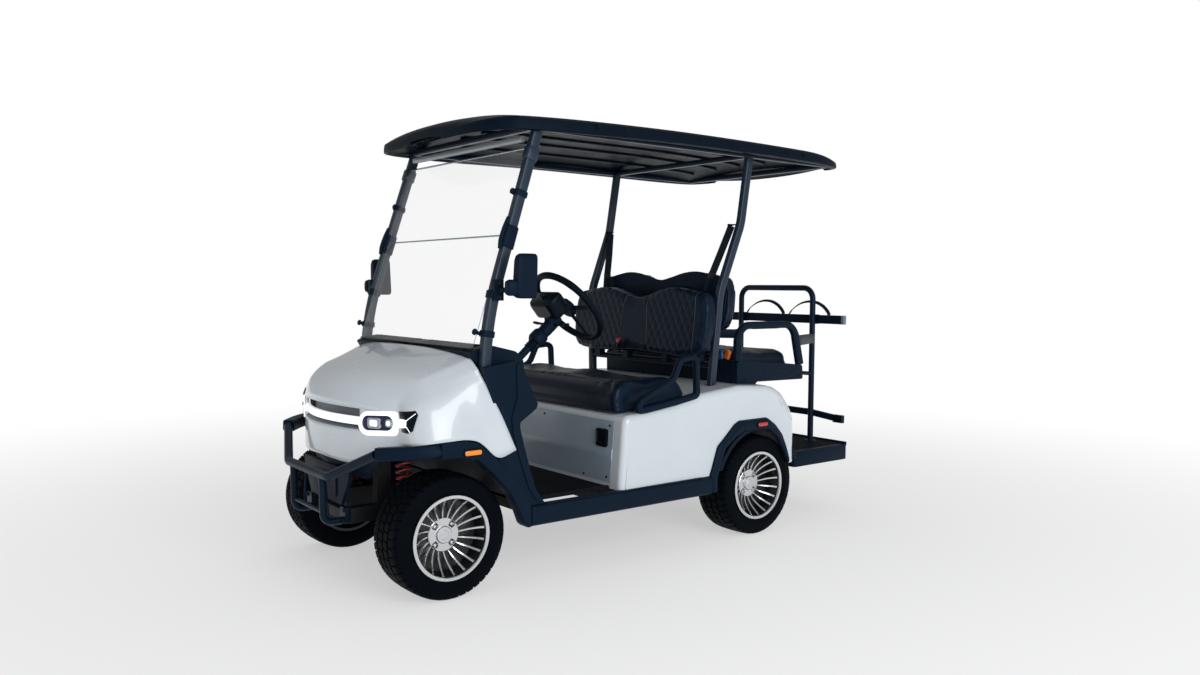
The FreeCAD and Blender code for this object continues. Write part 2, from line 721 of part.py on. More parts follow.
def trimPair(station, rows, inner):
    """One black flare on each side, its arch seen from the side."""
    return prism(relative(station, rows), "yz", inner, trim_outer)


trims = [
    trimPair(front, [(-70, 608), (27, 613.6), (77, 602.6), (107, 582.6), (170, 529.6), (237, 457),
                     (302, 376), (329, 324), (329, 246), (308, 243), (293, 256), (272, 309),
                     (230, 385), (150, 474), (82, 534), (6, 547), (-70, 549)],
             trim_outer - size.trim_width),
    prism([(trim_outer, front - 70), (trim_outer - size.trim_width, front - 70),
           (415, front - 250), (462, front - 282), (520, front - 200)], "xy", 551, 599.5),
    trimPair(rear, [(-343, 250), (-343, 328), (-320, 391), (-296, 458), (-251, 495), (-186, 552),
                    (-156, 566), (35, 567), (92, 531), (144, 478), (175, 416), (191, 370),
                    (185, 331), (138, 415), (101, 467), (42, 511), (-125, 519), (-185, 494),
                    (-256, 447), (-281, 382), (-306, 315)], size.body_half + size.face_gap)]
shaped("fender_trims", both(Part.makeCompound(trims)))
pairOf("front_markers", relative(front, [(20, 552), (98, 552), (98, 578), (20, 578)]),
       trim_outer + size.face_gap, size.marker_thick)


# ---------------------------------------------------------------- rear body
def rearBody():
    """One moulding from the seat box to the tail, open below, with the battery bay on top."""
    y = float(rear)
    wall = float(size.body_wall)
    deck = float(size.deck)
    fore = float(size.box_front)
    low = float(size.sill_top)
    outer = [(y - fore - 24, low), (y - fore, deck - 6), (y - 713, deck), (y - 556, deck + 20),
             (y - 436, deck + 44), (y - 400, deck + 60), (y - 149, 727), (y + 48, 716), (y + 113, 702),
             (y + 180, 672), (y + 226, 630), (y + 262, 588), (y + 284, 541), (y + 292, 476),
             (y + 296, low)]
    face = Part.Face(Part.makePolygon([Vector(0, *p) for p in outer + outer[:1]]))
    half = float(size.body_half)
    body = face.extrude(Vector(2 * half, 0, 0))
    body.translate(Vector(-half, 0, 0))
    upright = [e for e in body.Edges if len(e.Vertexes) == 2
               and abs(abs(e.Vertexes[0].Z - e.Vertexes[1].Z)) > 100
               and e.BoundBox.YMax < y - fore + 5]
    body = body.makeFillet(float(size.body_corner), upright)
    inner_face = face.makeOffset2D(-wall, 2)
    inside = inner_face.extrude(Vector(2 * (half - wall), 0, 0))
    inside.translate(Vector(-half + wall, 0, 0))
    below = Part.makeBox(2 * (half - wall), 1152, 30, Vector(-half + wall, y - fore - 16, low - 10))
    arch = [(y - 400, 200), (y - 318, 340), (y - 296, 430), (y - 251, 478), (y - 186, 530),
            (y - 140, 545), (y + 35, 545), (y + 92, 510), (y + 144, 455), (y + 180, 380),
            (y + 186, 200)]
    bay = Part.makeBox(900, 370, 120, Vector(-450, y - fore + 35, deck - 60))
    slots = both(Part.makeBox(60, 60, 70, Vector(float(size.rail_x) - 30, y + 260,
                                                 float(size.rail_bottom + size.kick_up) - 5)))
    shell = body.cut([inside, below, prism(arch, "yz", -700, 700), bay, slots])
    return shell


shaped("rear_body", rearBody())
panel_low = size.sill_top + 20
panel_high = size.deck - 28
panel_lean = 24 / float(size.deck - 6 - size.sill_top)
panel_foot = box_foot + panel_lean * 20 - size.face_gap
panel_head = box_foot + panel_lean * float(panel_high - size.sill_top) - size.face_gap
slab("access_panel", [(panel_foot, panel_low), (panel_head, panel_high),
                      (panel_head - 6, panel_high), (panel_foot - 6, panel_low)], 520)
doc.recompute()
socket = prism([(409, 494), (481, 494), (485, 504), (483, 568), (477, 576), (413, 576),
                (409, 568)], "xz", panel_foot - 11, panel_head + 4)
shaped("charge_socket", socket.cut([pieces["access_panel"].Shape, pieces["rear_body"].Shape]))


def rearLamps():
    """Red side markers on the flares and a pair of upright tail lamps."""
    y = float(rear)
    marker = prism([(y - 48, 528), (y + 22, 528), (y + 22, 552), (y - 48, 552)], "yz",
                   float(trim_outer + size.face_gap),
                   float(trim_outer + size.face_gap + size.marker_thick))
    tail = prism([(y + 284.5, 540), (y + 292.4, 476), (y + 294.6, 440), (y + 306, 440),
                  (y + 303, 490), (y + 296, 540)], "yz", 395, 470)
    return Part.makeCompound([both(marker), both(tail)])


shaped("rear_lamps", rearLamps())


def liners():
    """Arched liners over the rear wheels, inside the body."""
    y, z = float(rear), float(size.tyre_radius)
    wide = float(size.body_half - size.body_wall - size.face_gap) - 300
    shell = Part.makeCylinder(275, wide, Vector(300, y, z), Vector(1, 0, 0))
    shell = shell.fuse(Part.makeCylinder(290, 4, Vector(296 + wide, y, z), Vector(1, 0, 0)))
    shell = shell.cut(Part.makeCylinder(271, wide + 2, Vector(299, y, z), Vector(1, 0, 0)))
    shell = shell.cut(Part.makeBox(400, 700, 700, Vector(250, y - 350, z + 100 - 700)))
    inner = Part.makeCylinder(275, 4, Vector(300, y, z), Vector(1, 0, 0))
    inner = inner.cut(Part.makeBox(400, 700, 700, Vector(250, y - 350, z + 100 - 700)))
    return both(shell.fuse(inner))


shaped("wheel_liners", liners())


# ---------------------------------------------------------------- roof and pillars
def roof():
    """A crowned canopy with a drooping edge, lofted from back to front."""
    rows = [  # behind the front axle or ahead of the tail, half width, edge height, crown height
        (front + 88, 330, 1748, 1790), (front + 190, 480, 1772, 1852), (front + 330, 585, 1788, 1888),
        (front + 620, 600, 1787, 1910), (rear - 100, 600, 1785, 1912), (rear + 330, 585, 1784, 1886),
        (rear + 520, 545, 1784, 1856), (rear + 618, 470, 1792, 1826)]
    wires = []
    for y, half, edge, crown in rows:
        y = float(y)
        shoulder = edge + (crown - edge) * 0.66
        p = [Vector(-half, y, edge), Vector(-half + 14, y, shoulder), Vector(0, y, crown),
             Vector(half - 14, y, shoulder), Vector(half, y, edge),
             Vector(half - 40, y, edge + 4), Vector(0, y, crown - 45), Vector(-half + 40, y, edge + 4)]
        edges = [Part.makeLine(p[0], p[1]), Part.Arc(p[1], p[2], p[3]).toShape(),
                 Part.makeLine(p[3], p[4]), Part.makeLine(p[4], p[5]),
                 Part.Arc(p[5], p[6], p[7]).toShape(), Part.makeLine(p[7], p[0])]
        wires.append(Part.Wire(edges))
    return Part.makeLoft(wires, True, True)


shaped("roof", roof())

pillar_top = (size.pillar_x_top, front + 391, 1774)
pillar_foot = (size.pillar_x_foot, front + 101, 872)


def roofPillars():
    """Square front pillars with windscreen clamps, and bent rear struts down to the seat frame."""
    wide = float(size.pillar_width)
    parts = [bar(pillar_foot, pillar_top, wide, 44)]
    for share, tall in ((0.145, 26), (0.56, 90), (0.75, 24), (0.925, 50)):
        foot, top = vector(*pillar_foot), vector(*pillar_top)
        middle = foot + (top - foot) * share
        along = (top - foot).normalize()
        block = bar(middle - along * (tall / 2), middle + along * (tall / 2), wide + 8, 54)
        parts.append(block)
    strut = [(size.strut_x, rear - 24, 1788), (size.strut_x, rear - 74, 1490),
             (size.strut_x - 8, rear - 200, 1165), (size.strut_x - 40, rear - 215, 724)]
    path = route(strut, 90)
    start = path.Edges[0].Vertexes[0].Point
    along = path.Edges[0].tangentAt(0)
    across = Vector(1, 0, 0)
    other = along.cross(across).normalize()
    corners = [start + across * i * 15 + other * j * 20
               for i, j in ((-1, -1), (1, -1), (1, 1), (-1, 1), (-1, -1))]
    parts.append(path.makePipeShell([Part.makePolygon(corners)], True, False))
    return both(Part.makeCompound([together(parts[:-1]), parts[-1]])).cut(
        pieces["frame_uprights"].Shape)


doc.recompute()
shaped("roof_pillars", roofPillars())


def roofFrame():
    """Side rails under the roof with a cross tube over each pair of pillars."""
    tail = float(rear) + 560
    parts = [bar((505, front + 300, 1801), (505, tail, 1801), 30, 24),
             bar((-505, front + 300, 1801), (-505, tail, 1801), 30, 24)]
    for y in (front + 391, rear - 24, rear + 545):
        parts.append(bar((-505, y, 1801), (505, y, 1801), 30, 26, Vector(0, 1, 0)))
    return together(parts).cut([pieces["roof_pillars"].Shape, pieces["roof"].Shape])


shaped("roof_frame", roofFrame())


def windscreen():
    """Two clear panes in front of the pillars, the upper one turned back along its top edge."""
    half = float(size.windscreen_half)
    thick = float(size.glass)
    foot, top = vector(0, *pillar_foot[1:]), vector(0, *pillar_top[1:])
    along = (top - foot).normalize()
    ahead = along.cross(Vector(1, 0, 0)).normalize()
    ahead = ahead if ahead.y < 0 else ahead * -1
    base = foot + ahead * 10
    seam = base + along * 535
    head = base + along * 900
    parts = []
    for low, high in ((base + along * 72, seam - along * 2), (seam + along * 2, head)):
        parts.append(bar(low, high, 2 * half, thick))
    flange_end = head + Vector(0, 60, 14)
    parts.append(bar(head - along * 2.5, flange_end, 2 * half, thick))
    upper_pane = together(parts[1:])
    return Part.makeCompound([parts[0], upper_pane]).cut(pieces["roof_pillars"].Shape)


shaped("windscreen", windscreen())


def mirrors():
    """Door mirrors on short arms from the front pillars."""
    y = float(front)
    housing = Part.makeBox(44, 88, 172, Vector(605, y + 228, 1140))
    edges = [e for e in housing.Edges if abs(e.tangentAt(0).x) > 0.9]
    housing = housing.makeFillet(20, edges)
    lobe = Part.makeBox(38, 60, 70, Vector(603, y + 190, 1146))
    arm = bar((545, y + 198, 1172), (625, y + 214, 1172), 22, 22, Vector(0, 0, 1))
    bracket = Part.makeBox(24, 44, 84, Vector(538, y + 176, 1130))
    return both(together([housing, lobe, arm, bracket])).cut(pieces["roof_pillars"].Shape)


# ---------------------------------------------------------------- seats
lift_y = rear - 452
lift_z = size.deck + 62
rear_lift_y = rear - 71
rear_lift_z = size.deck + 209
pin_length = 3 * size.hinge_lug

slab("front_cushion_form", [  # the underside follows the deck of the seat box
    (rear - 846, size.deck - 5.5), (rear - 713, size.deck + 0.5), (rear - 556, size.deck + 20.5),
    (rear - 448, size.deck + 43), (rear - 438, size.deck + 60), (rear - 434, size.deck + 92),
    (rear - 470, size.deck + 122), (rear - 560, size.deck + 134), (rear - 800, size.deck + 131),
    (rear - 858, size.deck + 110), (rear - 873, size.deck + 60), (rear - 862, size.deck + 10)],
     size.cushion_half)
hollows = []
for n, x in enumerate((-size.hinge_x, size.hinge_x)):  # a slot for each lug, a bore for its pin
    hollows.append(box("lug_slot_%d" % n, x - size.hinge_lug / 2 - size.hinge_clear,
                       lift_y - size.hinge_lug, lift_z - 2 * size.hinge_lug,
                       size.hinge_lug + 2 * size.hinge_clear, 3 * size.hinge_lug,
                       3 * size.hinge_lug))
    hollows.append(cylinder("pin_bore_%d" % n, x - pin_length / 2 - size.face_gap, lift_y, lift_z,
                            size.hinge_pin + size.running_fit, pin_length + 2 * size.face_gap, "x"))
cut("front_cushion", pieces.pop("front_cushion_form"), hollows)


def lobedBack(half, y0, y1, low, shoulder, lobe, valley, lean):
    """A backrest with two rounded lobes, leaning by lean over its height."""
    points = [(-half * 0.8, low), (half * 0.8, low), (half * 0.96, low + 60), (half, low + 150),
              (half * 0.95, shoulder), (half * 0.8, lobe - 16), (half * 0.56, lobe),
              (half * 0.32, lobe), (half * 0.12, valley + 10), (0, valley)]
    outline_points = points + [(-x, z) for x, z in points[-2:1:-1]]
    solid = prism(outline_points, "xz", y0, y1)
    shear = FreeCAD.Matrix()
    shear.A23 = lean
    shear.A24 = -lean * low
    return solid.transformGeometry(shear)


y_back = float(rear) - 347
shaped("front_seat_back", lobedBack(float(size.back_half), y_back + 16, y_back + 90, 842, 1130,
                                    1204, 1160, 0.10))
shaped("rear_seat_back", lobedBack(float(size.rear_back_half), y_back + 196, y_back + 276, 952,
                                   1200, 1278, 1234, 0.06))


def seatBackFrame():
    """Cross tubes and brackets that carry both backrests from the rear struts."""
    y = float(rear)
    x = float(size.strut_x) - 20
    parts = [Part.makeCylinder(15, 2 * x, Vector(-x, y - 212, 820), Vector(1, 0, 0)),
             Part.makeCylinder(15, 2 * x, Vector(-x, y - 206, 1000), Vector(1, 0, 0))]
    for side in (-1, 1):
        for x_pad in (150, 380):
            parts.append(bar((side * x_pad, y - 226, 820), (side * x_pad, y - 222, 1060), 40, 36))
            parts.append(bar((side * x_pad, y - 206, 1000), (side * x_pad, y - 120, 1000), 40, 50))
    return together(parts).cut([pieces["roof_pillars"].Shape, pieces["front_seat_back"].Shape,
                                pieces["rear_seat_back"].Shape])


shaped("seat_back_frame", seatBackFrame())

restraint_x = size.body_half - size.restraint_inset
restraint = tube([
    (restraint_x, rear - 414, size.deck + 49), (restraint_x, rear - 424, size.deck + 235),
    (restraint_x, rear - 520, size.deck + 229), (restraint_x, rear - 560, size.deck + 137),
    (restraint_x, rear - 745, size.deck + 57), (restraint_x, rear - 772, size.deck - 1)],
    size.restraint_tube, 26)
shaped("hip_restraints", both(largest(restraint.cut(pieces["rear_body"].Shape))))

# Rear bench: black tub, its cushion, arm loops and the bracket back to the rack.
pan = newBody("rear_seat_pan")
pad(pan, outline(pan, "YZ_Plane", relative(rear, [
    (-84, 724.2), (44, 716.8), (58, 730), (398, 726), (392, 800), (-86, 838)])),
    size.pan_half * 2, symmetric=True)
pocket(pan, outline(pan, "YZ_Plane", relative(rear, [
    (-60, 784), (368, 770), (374, 860), (-60, 860)])),
    (size.pan_half - size.pan_wall) * 2, symmetric=True)
slab("rear_cushion_form", relative(rear, [
    (-50, 784.2), (360, 770.8), (366, 812), (356, 850), (330, 866), (-30, 880), (-48, 862)]),
     size.rear_cushion_half)
leaves = [pieces.pop("rear_cushion_form")]
bores = []
leaf = 0.85 * size.hinge_lug
for n, x in enumerate((-size.hinge_x, size.hinge_x)):
    for m, start in enumerate((x - 1.3 * size.hinge_lug, x + 0.7 * size.hinge_lug)):
        leaves.append(box("leaf_%d%d" % (n, m), start, rear_lift_y, rear_lift_z - leaf / 2,
                          0.6 * size.hinge_lug, 36, leaf))
        leaves.append(cylinder("leaf_end_%d%d" % (n, m), start, rear_lift_y, rear_lift_z,
                               leaf / 2, 0.6 * size.hinge_lug, "x"))
    bores.append(cylinder("leaf_bore_%d" % n, x - 1.6 * size.hinge_lug, rear_lift_y, rear_lift_z,
                          size.hinge_pin + size.running_fit, 3.2 * size.hinge_lug, "x"))
cut("rear_cushion", fuse("rear_cushion_leaves", leaves), bores)
pieces.pop("rear_cushion_leaves")


def seatHinges():
    """Lugs with fixed pins that the two lifting cushions turn on."""
    lug = float(size.hinge_lug)
    parts = []
    for y, z, rise in ((lift_y, lift_z, 30), (rear_lift_y, rear_lift_z, 18)):
        x, y, z = float(size.hinge_x), float(y), float(z)
        plate = Part.makeBox(lug, lug, rise, Vector(x - lug / 2, y - lug / 2, z - rise))
        head = Part.makeCylinder(lug / 2, lug, Vector(x - lug / 2, y, z), Vector(1, 0, 0))
        pin = Part.makeCylinder(float(size.hinge_pin), float(pin_length),
                                Vector(x - float(pin_length) / 2, y, z), Vector(1, 0, 0))
        parts.append(together([plate, head, pin]))
    return both(Part.makeCompound(parts)).cut([pieces["rear_body"].Shape,
                                               pieces["rear_seat_pan"].Shape])


doc.recompute()
shaped("seat_hinges", seatHinges())
arm_x = size.pan_half - size.pan_wall / 2
armrest = tube([(arm_x, rear - 70, 830), (arm_x, rear - 68, 1006), (arm_x, rear + 330, 1006),
                (arm_x, rear + 382, 796)], 14, 40)
stay = bar((arm_x, rear + 366, 915), (size.hoop_x + 8, rear + 738, 912), 60, 12, Vector(0, 0, 1))

hoop_y = rear + size.hoop_y
hoop_path = [(size.hoop_x, hoop_y, size.footplate_top), (size.hoop_x, hoop_y, size.hoop_top - 16),
             (-size.hoop_x, hoop_y, size.hoop_top - 16), (-size.hoop_x, hoop_y, size.footplate_top)]


def rearHoop():
    """Grab hoop standing on the footplate, tied to the bench by two stays."""
    parts = [tube(hoop_path, size.hoop_tube, 62)]
    for side in (-1, 1):
        x = float(size.hoop_x) * side
        parts.append(tube([(x, rear + 399, 752), (x, hoop_y, 718)], 11, 1))
    return together(parts)


shaped("rear_hoop", rearHoop())
doc.recompute()
shaped("rear_armrests", both(together([armrest, stay])).cut([pieces["rear_seat_pan"].Shape,
                                                             pieces["rear_hoop"].Shape]))

rack_y = hoop_y + size.hoop_tube + size.face_gap
half_rack = float(size.rack_half)
rack_back = float(rack_y)
shaped("bag_rack", Part.makeCompound([
    Part.makeBox(2 * half_rack, 24, 48, Vector(-half_rack, rack_back, 994)),
    prism([(-half_rack, 462), (-half_rack + 60, 462), (-230, 484), (230, 484),
           (half_rack - 60, 462), (half_rack, 462), (half_rack, 504), (half_rack - 60, 504),
           (230, 520), (-230, 520), (-half_rack + 60, 504), (-half_rack, 504)], "xz",
          rack_back, rack_back + 26)]))


def footplate():
    """A ribbed tray with a deep skirt and a low rim, hung from the frame's tail."""
    half = float(size.footplate_half)
    top = float(size.footplate_top)
    wall = float(size.footplate_wall)
    y0, y1 = float(rear) + 392, float(cart_length) / 2
    tray = Part.makeBox(2 * half, y1 - y0, float(size.footplate_skirt),
                        Vector(-half, y0, top - float(size.footplate_skirt)))
    upright = [e for e in tray.Edges if abs(e.tangentAt(0).z) > 0.9]
    tray = tray.makeFillet(18, upright)
    under = Part.makeBox(2 * half - 2 * wall, y1 - y0 - 2 * wall, float(size.footplate_skirt),
                         Vector(-half + wall, y0 + wall, top - float(size.footplate_skirt) - wall))
    rim = Part.makeBox(2 * half, 16, 12, Vector(-half, y1 - 16, top))
    return together([tray.cut(under), rim])


shaped("footplate", footplate())

# ---------------------------------------------------------------- brush guard
guard_y = -cart_length / 2 + size.guard_tube


def brushGuard():
    """Bowed main bar with raised ends, and two loops that run down and back to the frame."""
    r = float(size.guard_tube)
    z = size.guard_bar_z
    bow = [(-size.guard_half, front - 256, 566), (-205, guard_y, z), (205, guard_y, z),
           (size.guard_half, front - 256, 566)]
    parts = [tube(bow, r, 60)]
    for side in (-1, 1):
        x = 150 * side
        parts.append(tube([(x, guard_y, z), (x, guard_y + 4, 268), (x, front - 262, 268)],
                          r - 3, 60))
        parts.append(Part.makeBox(50, 20, 66, Vector(x - 5 if side > 0 else x - 45,
                                                     float(front) - 270.3, 260)))
    return together(parts).cut(pieces["fender_trims"].Shape)


shaped("brush_guard", brushGuard())

# ---------------------------------------------------------------- steering wheel and column
tilt = math.radians(float(size.column_tilt))
column_x = float(size.column_x)
hub = Vector(column_x, float(front) + 738, 1098)
axis = Vector(0, math.cos(tilt), math.sin(tilt))


def steeringColumn():
    """Column, clamp and the display pod below the wheel, with two stalks."""
    foot = hub - axis * 560
    stem = Part.makeCylinder(17, 520, foot, axis)
    jacket = Part.makeCylinder(30, 110, hub - axis * 180, axis)
    stem = stem.cut(Part.makeCylinder(31, 111, hub - axis * 181, axis))
    clamp = Part.makeCylinder(38, 60, hub - axis * 235, axis)
    up = axis.cross(Vector(1, 0, 0)).normalize()
    up = up if up.z > 0 else up * -1
    pod = bar(hub - axis * 165 + up * 70, hub - axis * 80 + up * 70, 170, 96)
    stalks = Part.makeCylinder(7, 260, hub - axis * 120 - Vector(130, 0, 0), Vector(1, 0, 0))
    stalks = stalks.cut(Part.makeCylinder(20, 70, hub - axis * 110, axis))
    whole = together([stem, jacket, clamp, pod, stalks])
    bore = Part.makeCylinder(11 + float(size.running_fit), 72, hub - axis * 110, axis)
    return whole.cut([bore, pieces["dash"].Shape])


shaped("steering_column", steeringColumn())


def steeringWheel():
    """Ring, three spokes, horn pad and the shaft that runs in the column."""
    ring_r = float(size.ring_section)
    torus = Part.makeTorus(float(size.wheel_ring), ring_r, hub, axis)
    pad_disc = Part.makeCylinder(48, 34, hub - axis * 22, axis)
    shaft = Part.makeCylinder(11, 110, hub - axis * 108, axis)
    parts = [torus, pad_disc, shaft]
    up = axis.cross(Vector(1, 0, 0)).normalize()
    for angle in (0, 90, 180):
        turn = FreeCAD.Rotation(axis, angle)
        out = turn.multVec(Vector(1, 0, 0))
        parts.append(bar(hub + out * 30, hub + out * float(size.wheel_ring), 26, 9,
                         turn.multVec(up)))
    return together(parts)


shaped("steering_wheel", steeringWheel())
shaped("mirrors", mirrors())


def pedals():
    """Brake and accelerator pads on arms from the toe board."""
    parts = []
    for x, wide in ((size.column_x - 40, 70), (size.column_x + 70, 60)):
        x = float(x)
        plate = bar((x, front + 330, 470), (x, front + 290, 552), wide, 12)
        arm = bar((x, front + 305, 512), (x, front + 252, 545), 16, 14)
        parts.append(together([plate, arm]))
    return Part.makeCompound(parts)


shaped("pedals", pedals())


def straps():
    """Webbing: lap-and-shoulder belts from the rear struts and the loops on the bag rack."""
    y = float(rear)
    parts = []
    for side in (-1, 1):
        edge = float(size.strut_x - 15 - size.face_gap) - 23
        parts.append(bar((edge * side, y - 96, 1484), (424 * side, y - 158, 1270), 46, 3))
    for x in (-105, 218):
        for lean in (-1, 1):
            foot, crown = (x + 140 * lean, rack_back + 12, 1043.7), (x, rack_back + 12, 1118)
            parts.append(bar(foot, crown, 22, 3, Vector(0, 1, 0)))
    return Part.makeCompound([together(parts[2:4]), together(parts[4:6])] + parts[:2])


shaped("straps", straps())

# ---------------------------------------------------------------- check and write
doc.recompute()
for item in doc.Objects:
    if any(word in ("Invalid", "Error") for word in item.State):
        raise RuntimeError("%s is not up to date: %s" % (item.Label, item.State))
os.makedirs("parts", exist_ok=True)
for label, piece in pieces.items():
    shape = piece.Shape
    if shape.isNull() or not shape.isValid():
        raise RuntimeError(label + " has no valid shape")
    if not shape.Solids:
        raise RuntimeError(label + " has no solid")
    shape.exportStep("parts/%s.step" % label)
    bounds = shape.BoundBox
    print("%-18s solids %2d  x %5.0f %5.0f  y %6.0f %6.0f  z %5.0f %5.0f" % (
        label, len(shape.Solids), bounds.XMin, bounds.XMax, bounds.YMin, bounds.YMax,
        bounds.ZMin, bounds.ZMax))
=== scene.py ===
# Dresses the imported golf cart: body panels, wheels, seats, lamps, glass and trim, then the studio.
import math

import bpy
import numpy as np
from mathutils import Matrix, Vector
from mathutils.bvhtree import BVHTree


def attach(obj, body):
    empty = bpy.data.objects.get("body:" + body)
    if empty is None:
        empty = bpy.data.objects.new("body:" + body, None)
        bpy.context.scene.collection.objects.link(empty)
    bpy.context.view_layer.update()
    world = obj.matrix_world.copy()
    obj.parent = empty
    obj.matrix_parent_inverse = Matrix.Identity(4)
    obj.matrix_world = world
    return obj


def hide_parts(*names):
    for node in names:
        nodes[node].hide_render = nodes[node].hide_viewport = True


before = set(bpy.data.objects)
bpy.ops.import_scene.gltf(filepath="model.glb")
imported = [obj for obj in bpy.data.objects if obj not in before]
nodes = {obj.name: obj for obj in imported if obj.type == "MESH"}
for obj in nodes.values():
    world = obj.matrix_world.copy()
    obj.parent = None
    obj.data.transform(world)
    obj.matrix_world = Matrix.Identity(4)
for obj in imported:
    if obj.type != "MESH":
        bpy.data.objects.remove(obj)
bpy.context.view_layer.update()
tau = 2 * np.pi
frontAxle = -1.065
rearAxle = 0.595
axleHeight = 0.24
trackHalf = {"front": .457, "rear": .479}


def grid(points, wrapU=False, wrapV=False, flip=False):
    # points[u, v] in space; quads join neighbours, wrapping where asked
    nu, nv = points.shape[:2]
    u = np.arange(nu if wrapU else nu - 1)
    v = np.arange(nv if wrapV else nv - 1)
    a, b = np.meshgrid(u, v, indexing="ij")
    a2, b2 = (a + 1) % nu, (b + 1) % nv
    quads = np.stack([a * nv + b, a2 * nv + b, a2 * nv + b2, a * nv + b2], -1).reshape(-1, 4)
    if flip:
        quads = quads[:, ::-1]
    return points.reshape(-1, 3), [quads]


def xyz(x, y, z):
    return np.stack([x, y, z], -1)


def mirrored(shape):
    # the same surface on the other side of the middle plane, with its faces turned back out
    return (shape[0] * [-1, 1, 1], [f[:, ::-1] for f in shape[1]], *shape[2:])


def bothSides(shapes):
    return shapes + [mirrored(s) for s in shapes]


def moved(shape, x=0, y=0, z=0):
    return (shape[0] + [x, y, z], *shape[1:])


def lid(loop, mark=0, back=False):
    # one face that closes a ring of points; back turns it round
    return loop, [np.arange(len(loop))[None, ::-1 if back else 1]], mark


def smoothPath(points, count, closed=False):
    # a Catmull-Rom curve through the points, sampled evenly in its parameter
    p = np.asarray(points, float)
    if closed:
        p = np.vstack([p[-1], p, p[0], p[1]])
    else:
        p = np.vstack([2 * p[0] - p[1], p, 2 * p[-1] - p[-2]])
    t = np.linspace(0, len(p) - 3, count, endpoint=not closed)
    i = np.minimum(t.astype(int), len(p) - 4)
    f = (t - i)[:, None]
    a, b, c, d = p[i], p[i + 1], p[i + 2], p[i + 3]
    return b + .5 * f * (c - a + f * (2 * a - 5 * b + 4 * c - d + f * (3 * (b - c) + d - a)))


def roundedPath(points, radius, steps=8):
    # straight runs joined by arcs: each corner is a circle tangent to its two runs
    p = np.asarray(points, float)
    radii = np.broadcast_to(radius, len(p))
    out = [p[:1]]
    for i in range(1, len(p) - 1):
        back, ahead = p[i - 1] - p[i], p[i + 1] - p[i]
        lengthBack, lengthAhead = np.linalg.norm(back), np.linalg.norm(ahead)
        back, ahead = back / lengthBack, ahead / lengthAhead
        half = np.arccos(np.clip(back @ ahead, -1, 1)) / 2
        reach = min(radii[i] / np.tan(half), .48 * lengthBack, .48 * lengthAhead)
        r = reach * np.tan(half)
        inward = (back + ahead) / np.linalg.norm(back + ahead)
        centre = p[i] + inward * r / np.sin(half)
        first, last = p[i] + back * reach - centre, p[i] + ahead * reach - centre
        turn = np.arccos(np.clip(first @ last / r ** 2, -1, 1))
        t = np.linspace(0, 1, steps)[:, None]
        arc = (np.sin((1 - t) * turn) * first + np.sin(t * turn) * last) / np.sin(turn)
        out.append(centre + arc)
    out.append(p[-1:])
    return np.vstack(out)


def circle(radius, count=16):
    a = np.arange(count) / count * tau
    return np.stack([np.cos(a), np.sin(a)], -1) * radius


def roundBox(width, height, radius, steps=4):
    # rectangle with quarter-circle corners, listed anticlockwise
    a = np.linspace(0, tau / 4, steps)
    arcs = [np.stack([np.cos(a + k * tau / 4), np.sin(a + k * tau / 4)], -1) * radius
            + [sx * (width / 2 - radius), sy * (height / 2 - radius)]
            for k, (sx, sy) in enumerate(((1, 1), (-1, 1), (-1, -1), (1, -1)))]
    return np.vstack(arcs)


def sweep(profile, path, side=(1, 0, 0), closed=False, scale=None):
    # the profile (across, up) carried along the path, 'across' kept as near to side as it can
    path = np.asarray(path, float)
    if closed:
        along = np.roll(path, -1, 0) - np.roll(path, 1, 0)
    else:
        along = np.gradient(path, axis=0)
    along /= np.linalg.norm(along, axis=1, keepdims=True)
    side = np.broadcast_to(np.asarray(side, float), path.shape)
    across = side - (side * along).sum(1, keepdims=True) * along
    across /= np.linalg.norm(across, axis=1, keepdims=True)
    up = np.cross(along, across)
    size = np.ones(len(path)) if scale is None else np.asarray(scale, float)
    if size.ndim == 1:
        size = size[:, None]
    profile = np.asarray(profile, float)
    points = (path[:, None] + across[:, None] * (profile[None, :, :1] * size[:, None, :1])
              + up[:, None] * (profile[None, :, 1:] * size[:, None, -1:]))
    flat, faces = grid(points, wrapU=closed, wrapV=True, flip=True)
    if not closed:
        k, n = len(profile), len(path)
        faces = faces + [np.arange(k)[None, ::-1], (np.arange(k) + (n - 1) * k)[None]]
        faces[1:] = [f[:, ::-1] for f in faces[1:]]
    return flat, faces


def capped(rows, flip=False, back=False):
    # closed rings joined in a row, with a face over each end; back turns those two faces round
    flat, faces = grid(rows, wrapV=True, flip=flip)
    first = np.arange(rows.shape[1])[None]
    last = first + len(flat) - rows.shape[1]
    return flat, faces + ([first[:, ::-1], last] if back else [first, last[:, ::-1]])


def bar(section, path, mark=0, **more):
    # a rod of rounded rectangular section (width, height, corner, steps), with its material index
    return (*sweep(roundBox(*section), path, **more), mark)


def tube(points, radius, bend=.03, count=16, side=(0, 0, 1)):
    return sweep(circle(radius, count), roundedPath(points, bend), side=side)


def turned(profile, count=64, axis=0, closed=True):
    # (along, radius) pairs turned about the x axis; axis 1 or 2 swaps to y or z
    a = np.arange(count) / count * tau
    along, radius = np.asarray(profile, float).T
    ring = xyz(np.broadcast_to(along, (count, len(along))), np.cos(a)[:, None] * radius,
               np.sin(a)[:, None] * radius)
    return grid(np.roll(ring, axis, -1), wrapU=True, wrapV=closed)


